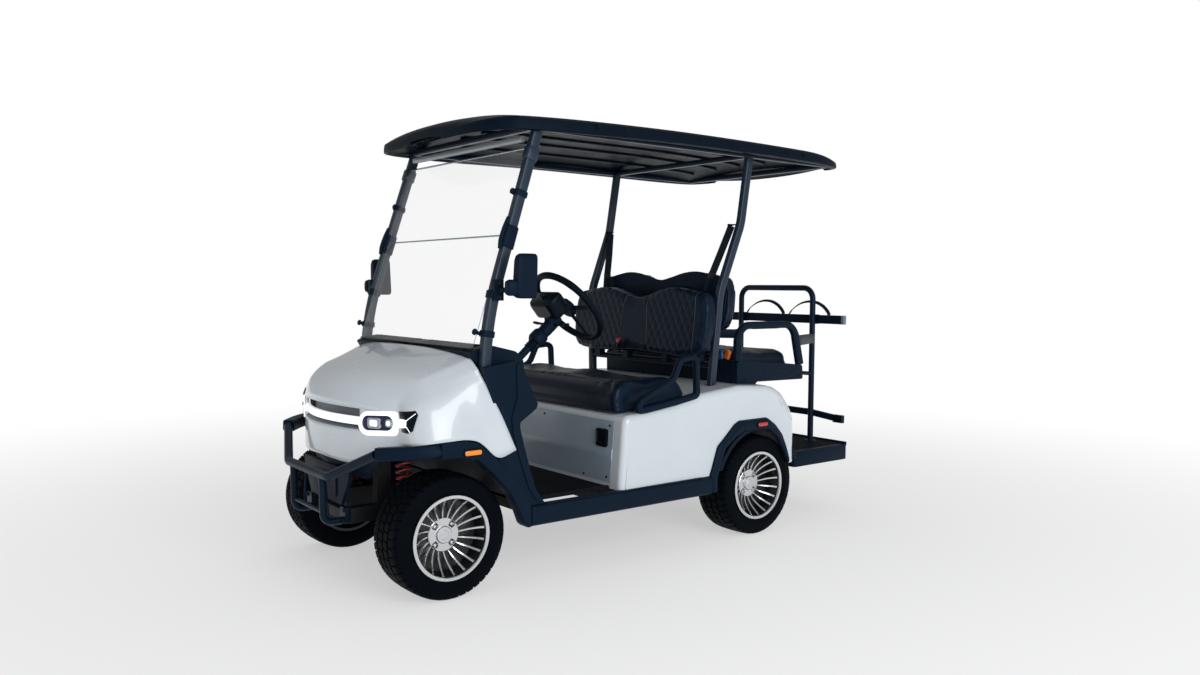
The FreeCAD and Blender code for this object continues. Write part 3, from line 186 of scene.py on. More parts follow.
def plate(outline, thick, lift):
    # a flat closed outline given a thickness; lift places (u, v, w) in space
    outline = np.asarray(outline, float)
    area = np.sum(outline[:, 0] * np.roll(outline[:, 1], -1) - np.roll(outline[:, 0], -1) * outline[:, 1])
    if area < 0:
        outline = outline[::-1]
    flat, faces = capped(np.stack([np.c_[outline, np.full(len(outline), w)] for w in thick]), flip=True,
                         back=True)
    points = lift(flat[:, 0], flat[:, 1], flat[:, 2])
    test = lift(np.array([0., 1, 0, 0]), np.array([0., 0, 1, 0]), np.array([0., 0, 0, 1]))
    basis = test[1:] - test[0]
    if np.linalg.det(basis) < 0:
        faces = [f[:, ::-1] for f in faces]
    return points, faces


def yz(u, v, w):
    return xyz(w, u, v)


def xz(u, v, w):
    return xyz(u, w, v)


def hexBolt(radius, height, axis=0):
    # bolt head with a small chamfer, standing along the axis
    return turned([(0, 0), (0, radius), (height - .001, radius), (height, radius - .001), (height, 0)], 6,
                  axis=axis, closed=False)


def levelRun(x0, x1, y, z):
    # a straight path from side to side
    return [(x0, y, z), (x1, y, z)]


def block(low, high):
    (x0, y0, z0), (x1, y1, z1) = low, high
    return plate([(x0, y0), (x1, y0), (x1, y1), (x0, y1)], (z0, z1), xyz)


def piece(name, shapes, materials, body="chassis", replaces=(), angle=35,
          bevel=0, solid=0, uv=None, weld=0, flat=False):
    # shapes: (points, faces) or (points, faces, material index), joined in one object
    points, faces, marks, offset = [], [], [], 0
    for shape in shapes:
        points.append(shape[0])
        mark = shape[2] if len(shape) > 2 else 0
        for batch in shape[1]:
            faces += (batch + offset).tolist()
            marks += ([mark] * len(batch) if np.isscalar(mark) else list(mark))
        offset += len(shape[0])
    points = np.vstack(points)
    mesh = bpy.data.meshes.new(name)
    mesh.from_pydata(points, [], faces)
    for material in materials:
        mesh.materials.append(material)
    mesh.polygons.foreach_set("material_index", np.array(marks, np.int32))
    if uv is not None:
        layer = mesh.uv_layers.new(name="pattern")
        loops = np.zeros(len(mesh.loops), np.int32)
        mesh.loops.foreach_get("vertex_index", loops)
        layer.data.foreach_set("uv", np.asarray(uv, np.float32)[loops].ravel())
    mesh.validate()
    thing = bpy.data.objects.new(name, mesh)
    bpy.context.scene.collection.objects.link(thing)
    if weld:
        modifier = thing.modifiers.new("weld", "WELD")
        modifier.merge_threshold = weld
        applyModifiers(thing)
        mesh = thing.data
    if solid:
        modifier = thing.modifiers.new("wall", "SOLIDIFY")
        modifier.thickness, modifier.offset = solid, -1
    if bevel:
        modifier = thing.modifiers.new("edges", "BEVEL")
        modifier.width, modifier.segments = bevel, 2
        modifier.limit_method, modifier.angle_limit = "ANGLE", math.radians(40)
        modifier.harden_normals = False
    mesh.polygons.foreach_set("use_smooth", np.ones(len(mesh.polygons), bool))
    mesh.set_sharp_from_angle(angle=math.radians(angle))
    if flat:
        modifier = thing.modifiers.new("flatFaces", "WEIGHTED_NORMAL")
        modifier.weight, modifier.keep_sharp = 90, True
    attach(thing, body)
    if replaces:
        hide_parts(*replaces)
    return thing


def applyModifiers(thing):
    # bake the live modifiers into the mesh
    bpy.context.view_layer.update()
    graph = bpy.context.evaluated_depsgraph_get()
    mesh = bpy.data.meshes.new_from_object(thing.evaluated_get(graph), depsgraph=graph)
    old = thing.data
    thing.modifiers.clear()
    thing.data = mesh
    bpy.data.meshes.remove(old)


def linear(text):
    # sRGB hex to the linear colour that shaders take
    c = np.array([int(text[i:i + 2], 16) for i in (1, 3, 5)]) / 255
    return (*np.where(c <= .04045, c / 12.92, ((c + .055) / 1.055) ** 2.4), 1.0)


def addNode(tree, kind, inputs=None, **settings):
    # one node with its settings; an input is a value or another node's output
    node = tree.nodes.new("ShaderNode" + kind)
    for name, value in settings.items():
        setattr(node, name, value)
    for name, value in (inputs or {}).items():
        if isinstance(value, bpy.types.NodeSocket):
            tree.links.new(value, node.inputs[name])
        else:
            node.inputs[name].default_value = value
    return node


def finish(name, color, other=None, rough=.5, roughVary=0, metal=0, grainMm=1.0, grainDepth=.1,
           patchSize=9, **sockets):
    # shared base: two close colours mixed by broad noise, roughness variation and a fine bump
    material = bpy.data.materials.new(name)
    material.use_nodes = True
    tree = material.node_tree
    shader = tree.nodes["Principled BSDF"]
    place = addNode(tree, "TexCoord").outputs["Object"]
    broad = addNode(tree, "TexNoise", {"Vector": place, "Scale": patchSize, "Detail": 4})
    mix = addNode(tree, "Mix", data_type="RGBA")
    tree.links.new(broad.outputs["Fac"], mix.inputs[0])
    mix.inputs[6].default_value = linear(color)
    mix.inputs[7].default_value = linear(other or color)
    tree.links.new(mix.outputs[2], shader.inputs["Base Color"])
    shader.inputs["Metallic"].default_value = metal
    fine = addNode(tree, "TexNoise", {"Vector": place, "Scale": 1000 / grainMm / 2, "Detail": 2})
    if roughVary:
        spread = addNode(tree, "MapRange", {"Value": broad.outputs["Fac"], "From Min": .3,
                                            "From Max": .7, "To Min": rough - roughVary,
                                            "To Max": rough + roughVary})
        tree.links.new(spread.outputs["Result"], shader.inputs["Roughness"])
    else:
        shader.inputs["Roughness"].default_value = rough
    bump = addNode(tree, "Bump", {"Height": fine.outputs["Fac"], "Strength": grainDepth,
                                  "Distance": grainMm / 1000})
    tree.links.new(bump.outputs["Normal"], shader.inputs["Normal"])
    for socket, value in sockets.items():
        shader.inputs[socket.replace("_", " ")].default_value = value
    return material


def paintedBlueSheen(level):
    # specular tint that paints a weak blue sheen into the reflections of dark plastics, coatings and rubber:
    # a painted tint standing in for bluish light
    return {"Specular_IOR_Level": level, "Specular_Tint": linear("#A3BCD8")}


# silver acrylic paint over moulded panels: pale, glossy clear coat, faint orange peel
silverPaint = finish("paintedPanelSilver", "#C2CAD1", "#BBC3CA", rough=.3, roughVary=.03, grainMm=3.0,
                     grainDepth=.03, Coat_Weight=.7, Coat_Roughness=.06)
# black polypropylene, spark-eroded mould grain: soft broad sheen, cool tint, and a painted blue sheen in its
# reflections
blackMoulding = finish("mouldedPolypropylene", "#071320", "#0C1A2A", rough=.46, roughVary=.06,
                       grainMm=1.4, grainDepth=.35, **paintedBlueSheen(.13))
# powder-coated steel tube: satin with a fine peel
coatedSteel = finish("powderCoatedSteel", "#071320", "#0C1A2A", rough=.36, roughVary=.05, grainMm=2.0,
                     grainDepth=.12, **paintedBlueSheen(.2))
# smoother black ABS of lamp housings and pods
glossMoulding = finish("glossBlackHousing", "#080C11", "#0C1218", rough=.24, roughVary=.03, grainMm=2.5,
                       grainDepth=.04, **paintedBlueSheen(.14))
# thermoformed roof skin, fine leather grain
roofSkin = finish("thermoformedRoofSheet", "#060E18", "#0A1521", rough=.46, roughVary=.05, grainMm=2.2,
                  grainDepth=.3, **paintedBlueSheen(.08))
# vulcanised rubber of the tread: dull with a dusty bloom
tyreRubber = finish("vulcanisedRubber", "#030508", "#06090D", rough=.62, roughVary=.08, grainMm=1.6,
                    grainDepth=.35, **paintedBlueSheen(.06))
# turned aluminium faces under lacquer
machinedAlloy = finish("machinedAluminium", "#D9DBDD", "#C9CCCF", rough=.24, roughVary=.06, metal=1,
                       grainMm=1.0, grainDepth=.06)
blackEnamel = finish("blackWheelEnamel", "#08090B", "#0D0F12", rough=.3, grainMm=2, grainDepth=.05)
darkSteel = finish("chassisBlack", "#07090C", "#0D1115", rough=.55, roughVary=.08, grainMm=2,
                   grainDepth=.25, Specular_IOR_Level=.25)
rubberMat = finish("ribbedRubberMat", "#080D13", "#0C131A", rough=.6, roughVary=.05, grainMm=1.5,
                   grainDepth=.3, Specular_IOR_Level=.15)
print("finishes ready")


# the view: fitted position, aim and roll, 28.7 mm on a 36 mm frame
view = {"place": (3.673, -2.828, 1.188), "azimuth": 51.75, "pitch": 3.05, "roll": .44, "lens": 28.68}


def stand(name, data, right, up, away, place):
    # an object in the scene, turned to the three directions and put at the place
    holder = bpy.data.objects.new(name, data)
    matrix = np.eye(4)
    matrix[:3] = np.stack([right, up, away, place], -1)
    holder.matrix_world = Matrix(matrix.tolist())
    bpy.context.scene.collection.objects.link(holder)
    return holder


def aimCamera():
    a, e, r = (math.radians(view[k]) for k in ("azimuth", "pitch", "roll"))
    look = np.array([-math.sin(a) * math.cos(e), math.cos(a) * math.cos(e), -math.sin(e)])
    right = np.array([math.cos(a), math.sin(a), 0])
    up = np.cross(right, look)
    right, up = (math.cos(r) * right + math.sin(r) * up, math.cos(r) * up - math.sin(r) * right)
    camera = bpy.data.cameras.new("camera")
    camera.lens, camera.sensor_width, camera.clip_end = view["lens"], 36, 400
    bpy.context.scene.camera = stand("camera", camera, right, up, -look, view["place"])


aimCamera()

# the studio: white all round, a broad lamp on the cart's left, a weaker one above
studio = {"ambient": .41, "key": 400, "top": 30, "front": 30, "floor": "#F2F3F4", "fadeFrom": 1.0,
          "fadeTo": 6.0, "nearGlow": .5, "reach": 150}


def fadingFloor():
    # pale matt floor near the object, turning to plain white from 1 m to 6 m out
    material = finish("studioFloor", studio["floor"], rough=.9, grainMm=4, grainDepth=.02)
    tree = material.node_tree
    place = addNode(tree, "TexCoord").outputs["Object"]
    away = addNode(tree, "VectorMath", {0: place}, operation="LENGTH")
    share = addNode(tree, "MapRange", {"Value": away.outputs["Value"], "From Min": studio["fadeFrom"],
                                       "From Max": studio["fadeTo"], "To Min": studio["nearGlow"]},
                    interpolation_type="SMOOTHSTEP")
    glow = addNode(tree, "Emission", {"Color": (1, 1, 1, 1), "Strength": 1.0})
    mix = addNode(tree, "MixShader", {0: share.outputs["Result"],
                                      1: tree.nodes["Principled BSDF"].outputs[0], 2: glow.outputs[0]})
    tree.links.new(mix.outputs[0], tree.nodes["Material Output"].inputs["Surface"])
    return material


def lightStudio():
    scene = bpy.context.scene
    world = bpy.data.worlds.new("studio")
    world.use_nodes = True
    scene.world = world
    tree = world.node_tree
    tree.nodes.clear()
    path = addNode(tree, "LightPath")
    seen = addNode(tree, "Math", {0: path.outputs["Is Camera Ray"], 1: path.outputs["Is Transmission Ray"]},
                   operation="MAXIMUM")
    dim = addNode(tree, "Background", {"Color": (1, 1, 1, 1), "Strength": studio["ambient"]})
    white = addNode(tree, "Background", {"Color": (1, 1, 1, 1), "Strength": 1.0})
    mix = addNode(tree, "MixShader", {0: seen.outputs[0], 1: dim.outputs[0], 2: white.outputs[0]})
    addNode(tree, "OutputWorld", {"Surface": mix.outputs[0]})
    for name, power, size, place, aim in (
            ("keyLamp", studio["key"], 5, (7.6, -1.2, 2.9), (0, -.1, .8)),
            ("topLamp", studio["top"], 4, (-1, 1, 7), (0, 0, 0)),
            ("frontLamp", studio["front"], 4, (1, -8, 3), (0, -.5, .8))):
        lamp = bpy.data.lights.new(name, "AREA")
        lamp.energy, lamp.size = power, size
        toward = np.array(aim, float) - place
        away = -toward / np.linalg.norm(toward)
        side = np.cross((0, 0, 1), away)
        side /= np.linalg.norm(side)
        stand(name, lamp, side, np.cross(away, side), away, place)
    floor = bpy.data.meshes.new("floor")
    far = studio["reach"]
    floor.from_pydata([(-far, -far, 0), (far, -far, 0), (far, far, 0), (-far, far, 0)], [], [(0, 1, 2, 3)])
    floor.materials.append(fadingFloor())
    sheet = bpy.data.objects.new("studioFloor", floor)
    scene.collection.objects.link(sheet)


lightStudio()
scene = bpy.context.scene
scene.view_settings.view_transform = "Standard"
scene.view_settings.look = "None"
print("camera and studio ready")

# wheels: tread blocks cut 6 mm deep, 44 pitches round; thin machined spokes over a black dish
wheel = {"pitches": 44, "blockDepth": .006, "slant": .3, "spokes": 20, "spokeWidth": .0078,
         "twist": 7, "hubDepth": .068, "lugCircle": .0508, "lugPocket": .0125}


def tyreShape():
    # columns line up with the cross grooves; rows line up with the round grooves
    step = np.array([-.09, -.055, .055, .09, .25, .41, .445, .555, .59, .75])
    first = np.array([0, 1, 1, 0, 0, 0, 0, 0, 0, 0])
    second = np.array([0, 0, 0, 0, 0, 0, 1, 1, 0, 0])
    turn = (np.arange(wheel["pitches"])[:, None] + step).ravel() / wheel["pitches"]
    first, second = (np.tile(g, wheel["pitches"]) for g in (first, second))
    half = [(5.5, 240), (20, 240), (34.5, 239.8), (36.5, 239.6), (43.5, 239.4), (45.5, 239.2),
            (61, 238.6), (76, 237), (83, 234.5), (88, 230.5), (90.5, 226), (91.5, 224.2), (92.4, 219),
            (94.3, 208), (95, 198), (94.8, 190), (93.4, 188.4), (93.2, 181), (91.4, 173),
            (89.8, 171.6), (88, 165), (84, 160.5), (82, 154)]
    ringFlag = [0, 0, 0, 1, 1, 0, 0, 0, 0, 0, 0, 0] + [0] * 11
    fade = [1, 1, 1, 1, 1, 1, 1, 1, 1, 1, .7, 0] + [0] * 11
    family = [0, 0, 0, 0, 1, 1, 1, 1, 1, 1, 1, 1] + [1] * 11
    x = np.array([-p[0] for p in half[::-1]] + [-3.5, 3.5] + [p[0] for p in half]) / 1000
    r = np.array([p[1] for p in half[::-1]] + [240, 240] + [p[1] for p in half]) / 1000
    circular = np.array(ringFlag[::-1] + [1, 1] + ringFlag)
    fade = np.array(fade[::-1] + [1, 1] + fade)
    kind = np.array([1 - f for f in family[::-1]] + [1, 0] + family)
    cross = np.where(kind[None, :] == 1, first[:, None], second[:, None]) * fade
    depth = np.maximum(cross, circular[None, :]) * wheel["blockDepth"]
    shift = wheel["slant"] / wheel["pitches"] * np.sin(np.clip(x / .09, -1, 1) * np.pi)
    angle = (turn[:, None] + shift) * tau
    radius = r - depth
    points = xyz(np.broadcast_to(x, angle.shape), np.cos(angle) * radius, np.sin(angle) * radius)
    uv = np.stack([np.broadcast_to(angle / tau, angle.shape), np.broadcast_to(r, angle.shape)], -1)
    return grid(points, wrapU=True, flip=True), uv.reshape(-1, 2)


def dishRise(r):
    # the spokes' axial place: deep near the hub, then rising steeply to the lip
    t = np.clip((r - .058) / (.152 - .058), 0, 1)
    return .022 + .064 * t ** 1.9


def rimShapes():
    # lip and barrel, black dish, swirled spokes, hub disc with lug pockets and nuts
    lip = turned([(.0855, .150), (.0855, .1615), (.088, .163), (.0945, .163), (.096, .1615),
                  (.096, .1505), (.0935, .1485), (.088, .1484)], 96)
    barrel = turned([(.0856, .1515), (.060, .1500), (.040, .1440), (-.050, .1440), (-.080, .1500),
                     (-.0855, .1615), (-.0880, .1615), (-.0880, .1500), (-.052, .1415),
                     (.004, .141), (.004, .060), (-.010, .058), (-.010, .03), (.016, .03),
                     (.016, .062), (.020, .1395), (.044, .1405), (.064, .1465), (.0862, .1482)], 72)
    t = np.linspace(0, 1, 9)
    r = .056 + t * (.1495 - .056)
    n = wheel["spokes"]
    angle = (np.arange(n) / n * tau)[:, None] + math.radians(wheel["twist"]) * np.sin(t * 1.4)
    width = (wheel["spokeWidth"] * (.68 + .5 * t))
    lift = dishRise(r)
    cross = np.array([(-.5, -.010), (-.5, -.0012), (-.36, 0), (.36, 0), (.5, -.0012), (.5, -.010)])
    a = angle[:, :, None] + (cross[:, 0] * width[:, None] / r[:, None])[None]
    x = np.broadcast_to(lift[None, :, None] + cross[None, None, :, 1], a.shape)
    radius = np.broadcast_to(r[None, :, None], a.shape)
    spokes = xyz(x, np.cos(a) * radius, np.sin(a) * radius)
    return [(*lip, 1), barrel] + [(*grid(spoke, wrapV=True), 1) for spoke in spokes] + hubShapes()


def hubShapes():
    # a disc with a raised centre cap; pockets are real wells with a nut in each
    count = 96
    a = np.arange(count) / count * tau
    lugs = np.arange(4) * tau / 4 + tau / 8
    pockets = np.stack([np.cos(lugs), np.sin(lugs)], -1) * wheel["lugCircle"]
    rings = np.array([.066, .0655, .063, .058, .054, .0508, .047, .043, .038, .034, .0335, .031,
                      .0305, .018, .017, .0])
    height = np.array([.012, .0255, .0275, .0275, .0275, .0275, .0275, .0275, .0275, .0275, .031,
                       .034, .0345, .0348, .0355, .0355])
    y = np.cos(a)[:, None] * rings
    z = np.sin(a)[:, None] * rings
    gap = np.sqrt((y[..., None] - pockets[:, 0]) ** 2 + (z[..., None] - pockets[:, 1]) ** 2).min(-1)
    sink = np.clip((wheel["lugPocket"] - gap) / .002, 0, 1)
    x = np.broadcast_to(height, y.shape) - .013 * sink * (rings > .03)
    disc = grid(xyz(x, y, z), wrapU=True)
    shapes = [(*disc, 1)]
    for cy, cz in pockets:
        nut = turned([(.012, .0), (.012, .0078), (.023, .0078), (.0255, .006), (.0265, .0)], 6,
                     closed=False)
        shapes.append((*moved(nut, 0, cy, cz), 1))
    return shapes


tyre, tyreUv = tyreShape()
for name, x, y, side in (("front_left", trackHalf["front"], frontAxle, 1),
                         ("front_right", -trackHalf["front"], frontAxle, -1),
                         ("rear_left", trackHalf["rear"], rearAxle, 1),
                         ("rear_right", -trackHalf["rear"], rearAxle, -1)):
    shape, rim = tyre, rimShapes()
    if side < 0:
        shape, rim = mirrored(shape), [mirrored(r) for r in rim]
    piece("tyreLooks_" + name, [moved(shape, x, y, axleHeight)], [tyreRubber], body="wheel_" + name,
          replaces=["tyre_" + name], angle=24, uv=tyreUv)
    piece("rimLooks_" + name, [moved(r, x, y, axleHeight) for r in rim], [blackEnamel, machinedAlloy],
          body="wheel_" + name, replaces=["rim_" + name], angle=30)
print("wheels ready")


def glowing(name, color, strength):
    return finish(name, color, rough=.3, grainMm=2, grainDepth=.02, Emission_Color=linear(color),
                  Emission_Strength=strength)


lensRibs = 60


def lens(name, color):
    # moulded transparent cap over a bright reflector: saturated, glossy, with fine ribs inside
    material = finish(name, color, rough=.12, grainMm=3, grainDepth=.02, Coat_Weight=.6,
                      Coat_Roughness=.03, Emission_Color=linear(color), Emission_Strength=.1)
    tree = material.node_tree
    wave = addNode(tree, "TexWave", {"Vector": addNode(tree, "TexCoord").outputs["Object"],
                                     "Scale": lensRibs}, bands_direction="Y")
    bump = addNode(tree, "Bump", {"Height": wave.outputs["Fac"], "Strength": .3, "Distance": .001})
    tree.links.new(bump.outputs["Normal"], tree.nodes["Principled BSDF"].inputs["Normal"])
    return material


whiteStrip = glowing("litDiffuserStrip", "#F6FAFF", .55)
amberLens = lens("amberIndicatorLens", "#DE7A05")
redLens = lens("redLampLens", "#B01414")
smokedLens = finish("smokedHeadlampLens", "#10123A", "#15183F", rough=.1, grainMm=4, grainDepth=.01,
                    Specular_IOR_Level=.25)
clearGlass = finish("projectorLensGlass", "#8E9AA6", "#6F7A86", rough=.05, grainMm=4, grainDepth=.01,
                    Coat_Weight=1.0, Coat_Roughness=.02)

# front cowl: five control rows from the crease to the lower edge, at stations rear to nose
cowl = {"noseY": -1.353, "nosePlan": .65, "window": .276, "windowLow": .638, "shell": .004,
        "perStation": 5, "perRow": 5}
cowlRows = np.array([
    [(.500, -.955, .905), (.545, -.950, .868), (.570, -.925, .800),
     (.590, -.873, .690), (.600, -.814, .556)],
    [(.492, -.985, .893), (.537, -.982, .857), (.565, -.972, .800),
     (.588, -.938, .690), (.600, -.893, .534)],
    [(.483, -1.02, .879), (.529, -1.017, .843), (.560, -1.01, .790),
     (.586, -.990, .690), (.600, -.955, .583)],
    [(.476, -1.05, .868), (.522, -1.047, .832), (.556, -1.04, .785),
     (.584, -1.02, .695), (.600, -.988, .605)],
    [(.470, -1.08, .856), (.515, -1.077, .820), (.552, -1.075, .775),
     (.582, -1.06, .695), (.600, -1.038, .615)],
    [(.462, -1.115, .842), (.507, -1.112, .806), (.546, -1.115, .762),
     (.577, -1.108, .69), (.598, -1.10, .614)],
    [(.455, -1.15, .827), (.498, -1.150, .793), (.537, -1.155, .750),
     (.566, -1.153, .685), (.588, -1.148, .611)],
    [(.447, -1.19, .792), (.486, -1.190, .766), (.517, -1.195, .733),
     (.543, -1.195, .675), (.562, -1.193, .605)],
    [(.442, -1.22, .750), (.466, -1.219, .737), (.487, -1.222, .712),
     (.500, -1.224, .660), (.515, -1.222, .597)],
    [(.432, -1.2317, .712), (.436, -1.230, .702), (.440, -1.228, .690),
     (.443, -1.227, .645), (.447, -1.226, .588)]])
noseX = np.array([.36, .25, .125, 0])
noseZ = np.array([[.700, .646, .604, .552], [.696, .638, .585, .509], [.694, .638, .578, .508],
                  [.694, .638, .580, .514]])


def noseFront(x, z=0, proud=0):
    return np.stack(np.broadcast_arrays(x, cowl["noseY"] + cowl["nosePlan"] * x ** 2 - proud, z), -1)


def cowlNet():
    t = noseX / .432
    top = noseFront(noseX, .721 - .009 * t ** 2)
    front = np.stack([top] + [noseFront(noseX, noseZ[:, k]) for k in range(4)], 1)
    side = np.concatenate([cowlRows, front])
    return np.concatenate([side, side[-2::-1] * [-1, 1, 1]])


def refine(points, count, axis):
    # Catmull-Rom along one axis of a control net
    p = np.moveaxis(points, axis, 0)
    flat = smoothPath(p.reshape(len(p), -1), count)
    return np.moveaxis(flat.reshape((count,) + p.shape[1:]), 0, axis)


def cowlShapes():
    net = cowlNet()
    stations = (len(net) - 1) * cowl["perStation"] + 1
    band = refine(net, stations, 0)
    k = cowl["perRow"]
    upper = band[:, :1] + (band[:, 1:2] - band[:, :1]) * np.linspace(0, 1, 4)[None, :-1, None]
    lower = refine(band[:, 1:], 3 * k + 1, 1)
    band = np.concatenate([upper, lower], 1)
    points, (quads,) = grid(band, flip=True)
    centre = points[quads].mean(1)
    row = quads.min(1) % band.shape[1]
    inWindow = (np.abs(centre[:, 0]) < cowl["window"]) & (row < 3 + k) & (centre[:, 1] < -1.3)
    shapes = [(points, [quads[~inWindow]])]
    # hood: rows rear to nose; t runs across, height falls with t squared
    s = np.array([0, .3, .6, .8, .92, 1.0]) * 9
    middle = np.array([(0, -.985, .935), (0, -1.10, .905), (0, -1.22, .872), (0, -1.30, .838),
                       (0, -1.341, .785), (0, -1.353, .721)])
    place = np.linspace(0, 9, 9 * cowl["perStation"] + 1)
    edge = band[:len(place), 0]
    ridge = np.stack([np.interp(place, s, middle[:, c]) for c in range(3)], -1)
    soft = np.ones(7) / 7
    inner = np.stack([np.convolve(np.pad(ridge[:, c], 3, mode="edge"), soft, "valid") for c in range(3)], -1)
    ridge[1:-1] = inner[1:-1]
    t = np.linspace(-1, 1, 61)
    rear = np.clip(place / 3, 0, 1)[:, None]
    weight = t ** 2 * rear + np.abs(t) ** 3 * (1 - rear)
    hood = ridge[:, None] + (edge - ridge)[:, None] * weight[..., None]
    hood[..., 0] = edge[:, :1] * t
    shapes.append(grid(hood, flip=True))
    return shapes, hood[-1]


def troughShapes(lip):
    # the recess between hood and bumper, and the white strip in it
    near = lip[np.abs(lip[:, 0]) <= cowl["window"] + .02]
    x, y, z = near.T
    floor = np.full_like(x, cowl["windowLow"])
    rows = [(y, z), (y + .010, z - .003), (y + .042, z - .012), (y + .042, floor + .012),
            (y + .010, floor + .002), (y, floor - .002)]
    trough = np.stack([xyz(x, a, b) for a, b in rows], 1)
    strip = noseFront(np.linspace(-.285, .285, 41), .6690)
    strip[:, 1] += .012
    return [(*grid(trough, flip=True), 0), bar((.016, .031, .004), strip, 1, side=(0, 1, 0))]


def drawnIn(outline, inset):
    # each point of the outline moved 'inset' metres towards its middle
    away = outline - outline.mean(0)
    return outline.mean(0) + away * (1 - inset / np.linalg.norm(away, axis=1, keepdims=True))


def rings(outline, steps):
    # outline (x, z) drawn in and pushed out from the nose by 'proud'
    return np.stack([noseFront(*drawnIn(outline, inset).T, proud) for inset, proud in steps])


cornerAway = np.array([.74, -.67, 0])


def onCowl(points, proud):
    # points moved along the corner's direction on to the cowl, then out by 'proud'
    tree = BVHTree.FromPolygons(cowlSkin[0].tolist(), cowlSkin[1][0].tolist())
    found = [np.array(tree.ray_cast(Vector((np.array(p) + cornerAway * .1).tolist()),
                                    Vector((-cornerAway).tolist()))[0]) for p in points]
    return np.array(found) + np.reshape(proud, (-1, 1)) * cornerAway


def lampShapes():
    shapes = []
    round, square = roundBox(.171, .092, .0455, 8), roundBox(.171, .092, .018, 8)
    outline = np.where(round[:, :1] < 0, round, square) + [.3575, .668]
    hole = roundBox(.141, .058, .0285, 8) + [.3565, .670]
    for line in (outline, hole):
        line[:, 1] += (line[:, 0] - .3575) * .06
    edge = rings(outline, [(0, -.006), (0, .0075), (.003, .0105)])
    inner = rings(hole, [(0, .0105), (.0008, .009), (.001, .004)])
    shapes.append((*grid(np.concatenate([edge, inner]), wrapV=True), 1))
    pane = rings(hole, [(.0005, .0045), (.004, .0062), (.014, .0066), (.024, .0068)])
    shapes.append((*grid(pane, wrapV=True), 0))
    shapes.append(lid(pane[-1], 0))
    for x, z, wide, tall, corner in ((.347, .6695, .056, .041, .010), (.409, .6725, .027, .034, .0134)):
        face = roundBox(wide, tall, corner, 6)
        steps = [(1.0, .006), (1.0, .0105), (.90, .0115), (.86, .0100), (.6, .0120), (.3, .0130),
                 (.02, .0133)]
        dome = np.stack([noseFront(x + face[:, 0] * r, z + face[:, 1] * r, q) for r, q in steps])
        points, (quads,) = grid(dome, wrapV=True)
        ring = quads.min(1) // len(face)
        mark = np.where(ring < 2, 4, np.where(ring < 4, 3, 1))
        shapes.append((points, [quads], mark))
    # the dark arrow head: its edge subdivided, rings drawn in to a raised middle and laid on the corner
    corners = np.array([(.444, -1.2285, .720), (.516, -1.1965, .728), (.531, -1.1945, .714),
                        (.522, -1.2095, .655), (.505, -1.2190, .645), (.462, -1.2270, .645)])
    edge = np.concatenate([corners[k] + (corners[(k + 1) % 6] - corners[k]) * np.linspace(0, 1, 9)[:-1, None]
                           for k in range(6)])
    middle = corners.mean(0)
    rows = [onCowl(middle + (edge - middle) * share, proud) for share, proud in
            ((1, -.004), (1, .0075), (.97, .0095), (.80, .0100), (.55, .0115), (.30, .0125), (.06, .0130))]
    shapes.append((*grid(np.stack(rows), wrapV=True), 2))
    shapes.append(lid(rows[-1], 2))
    tongue = onCowl([(.436, -1.2400, .6750), (.462, -1.2375, .6765), (.484, -1.2325, .6790),
                     (.497, -1.2240, .6800)], .0135)
    shapes.append(bar((.034, .007, .0015), tongue, 1, side=(0, 0, 1), scale=[1, 1, .96, .8]))
    for end in ((.526, -1.2005, .719), (.515, -1.2170, .650)):
        start = np.array([.497, -1.2230, .680 + (end[2] - .680) * .3])
        spoke = onCowl(start + (end - start) * np.linspace(0, 1, 6)[:, None], np.linspace(.0150, .0118, 6))
        shapes.append(bar((.0026, .0026, .0007, 2), spoke, 1, side=(0, 0, 1)))
    return shapes


chromeBezel = finish("chromedBezel", "#B9BEC6", "#A9AFB8", rough=.12, metal=1, grainMm=3, grainDepth=.02)
greyInside = finish("lampRecessGrey", "#5B6167", "#4C5258", rough=.5, roughVary=.05, grainMm=1.5,
                    grainDepth=.2)
shapes, lip = cowlShapes()
cowlSkin = shapes[0]
piece("cowlShell", shapes, [silverPaint], replaces=["front_cowl"], angle=26,
      solid=cowl["shell"], weld=.0004)
piece("cowlRecess", troughShapes(lip), [greyInside, whiteStrip])
piece("headlamps", bothSides(lampShapes()),
      [smokedLens, whiteStrip, glossMoulding, clearGlass, chromeBezel],
      replaces=["front_lamps"], angle=30)
print("cowl ready")


# rear body: one skin over a side-view path, rounded over to two side walls with wheel arches
bodySize = {"half": .582, "edgeRadius": .022, "wall": .004}
bodyPath = [(-.276, .324), (-.252, .637), (-.118, .643), (.039, .663), (.159, .687), (.195, .703),
            (.446, .727), (.643, .716), (.708, .702), (.775, .672), (.821, .630), (.857, .588),
            (.879, .541), (.887, .476), (.890, .330)]
archEdge = [(.786, .335), (.77, .416), (.739, .478), (.687, .531), (.629, .560), (.580, .563),
            (.439, .558), (.409, .546), (.344, .490), (.299, .455), (.275, .388), (.250, .326)]


tailPlan = {"reach": .095, "start": .42, "end": .89}


def tailRounded(points):
    # corners of the tail in plan: a quarter ellipse, easing in behind the arch below and sooner above
    x, y, z = np.moveaxis(np.asarray(points, float), -1, 0)
    share = np.clip((np.abs(x) - tailPlan["start"]) / (bodySize["half"] - tailPlan["start"]), 0, 1)
    back = tailPlan["reach"] * (1 - np.sqrt(1 - .999 * share ** 2))
    begin = .785 - .185 * np.clip((z - .545) / .08, 0, 1)
    return xyz(x, y - back * np.clip((y - begin) / (tailPlan["end"] - begin), 0, 1.05), z)


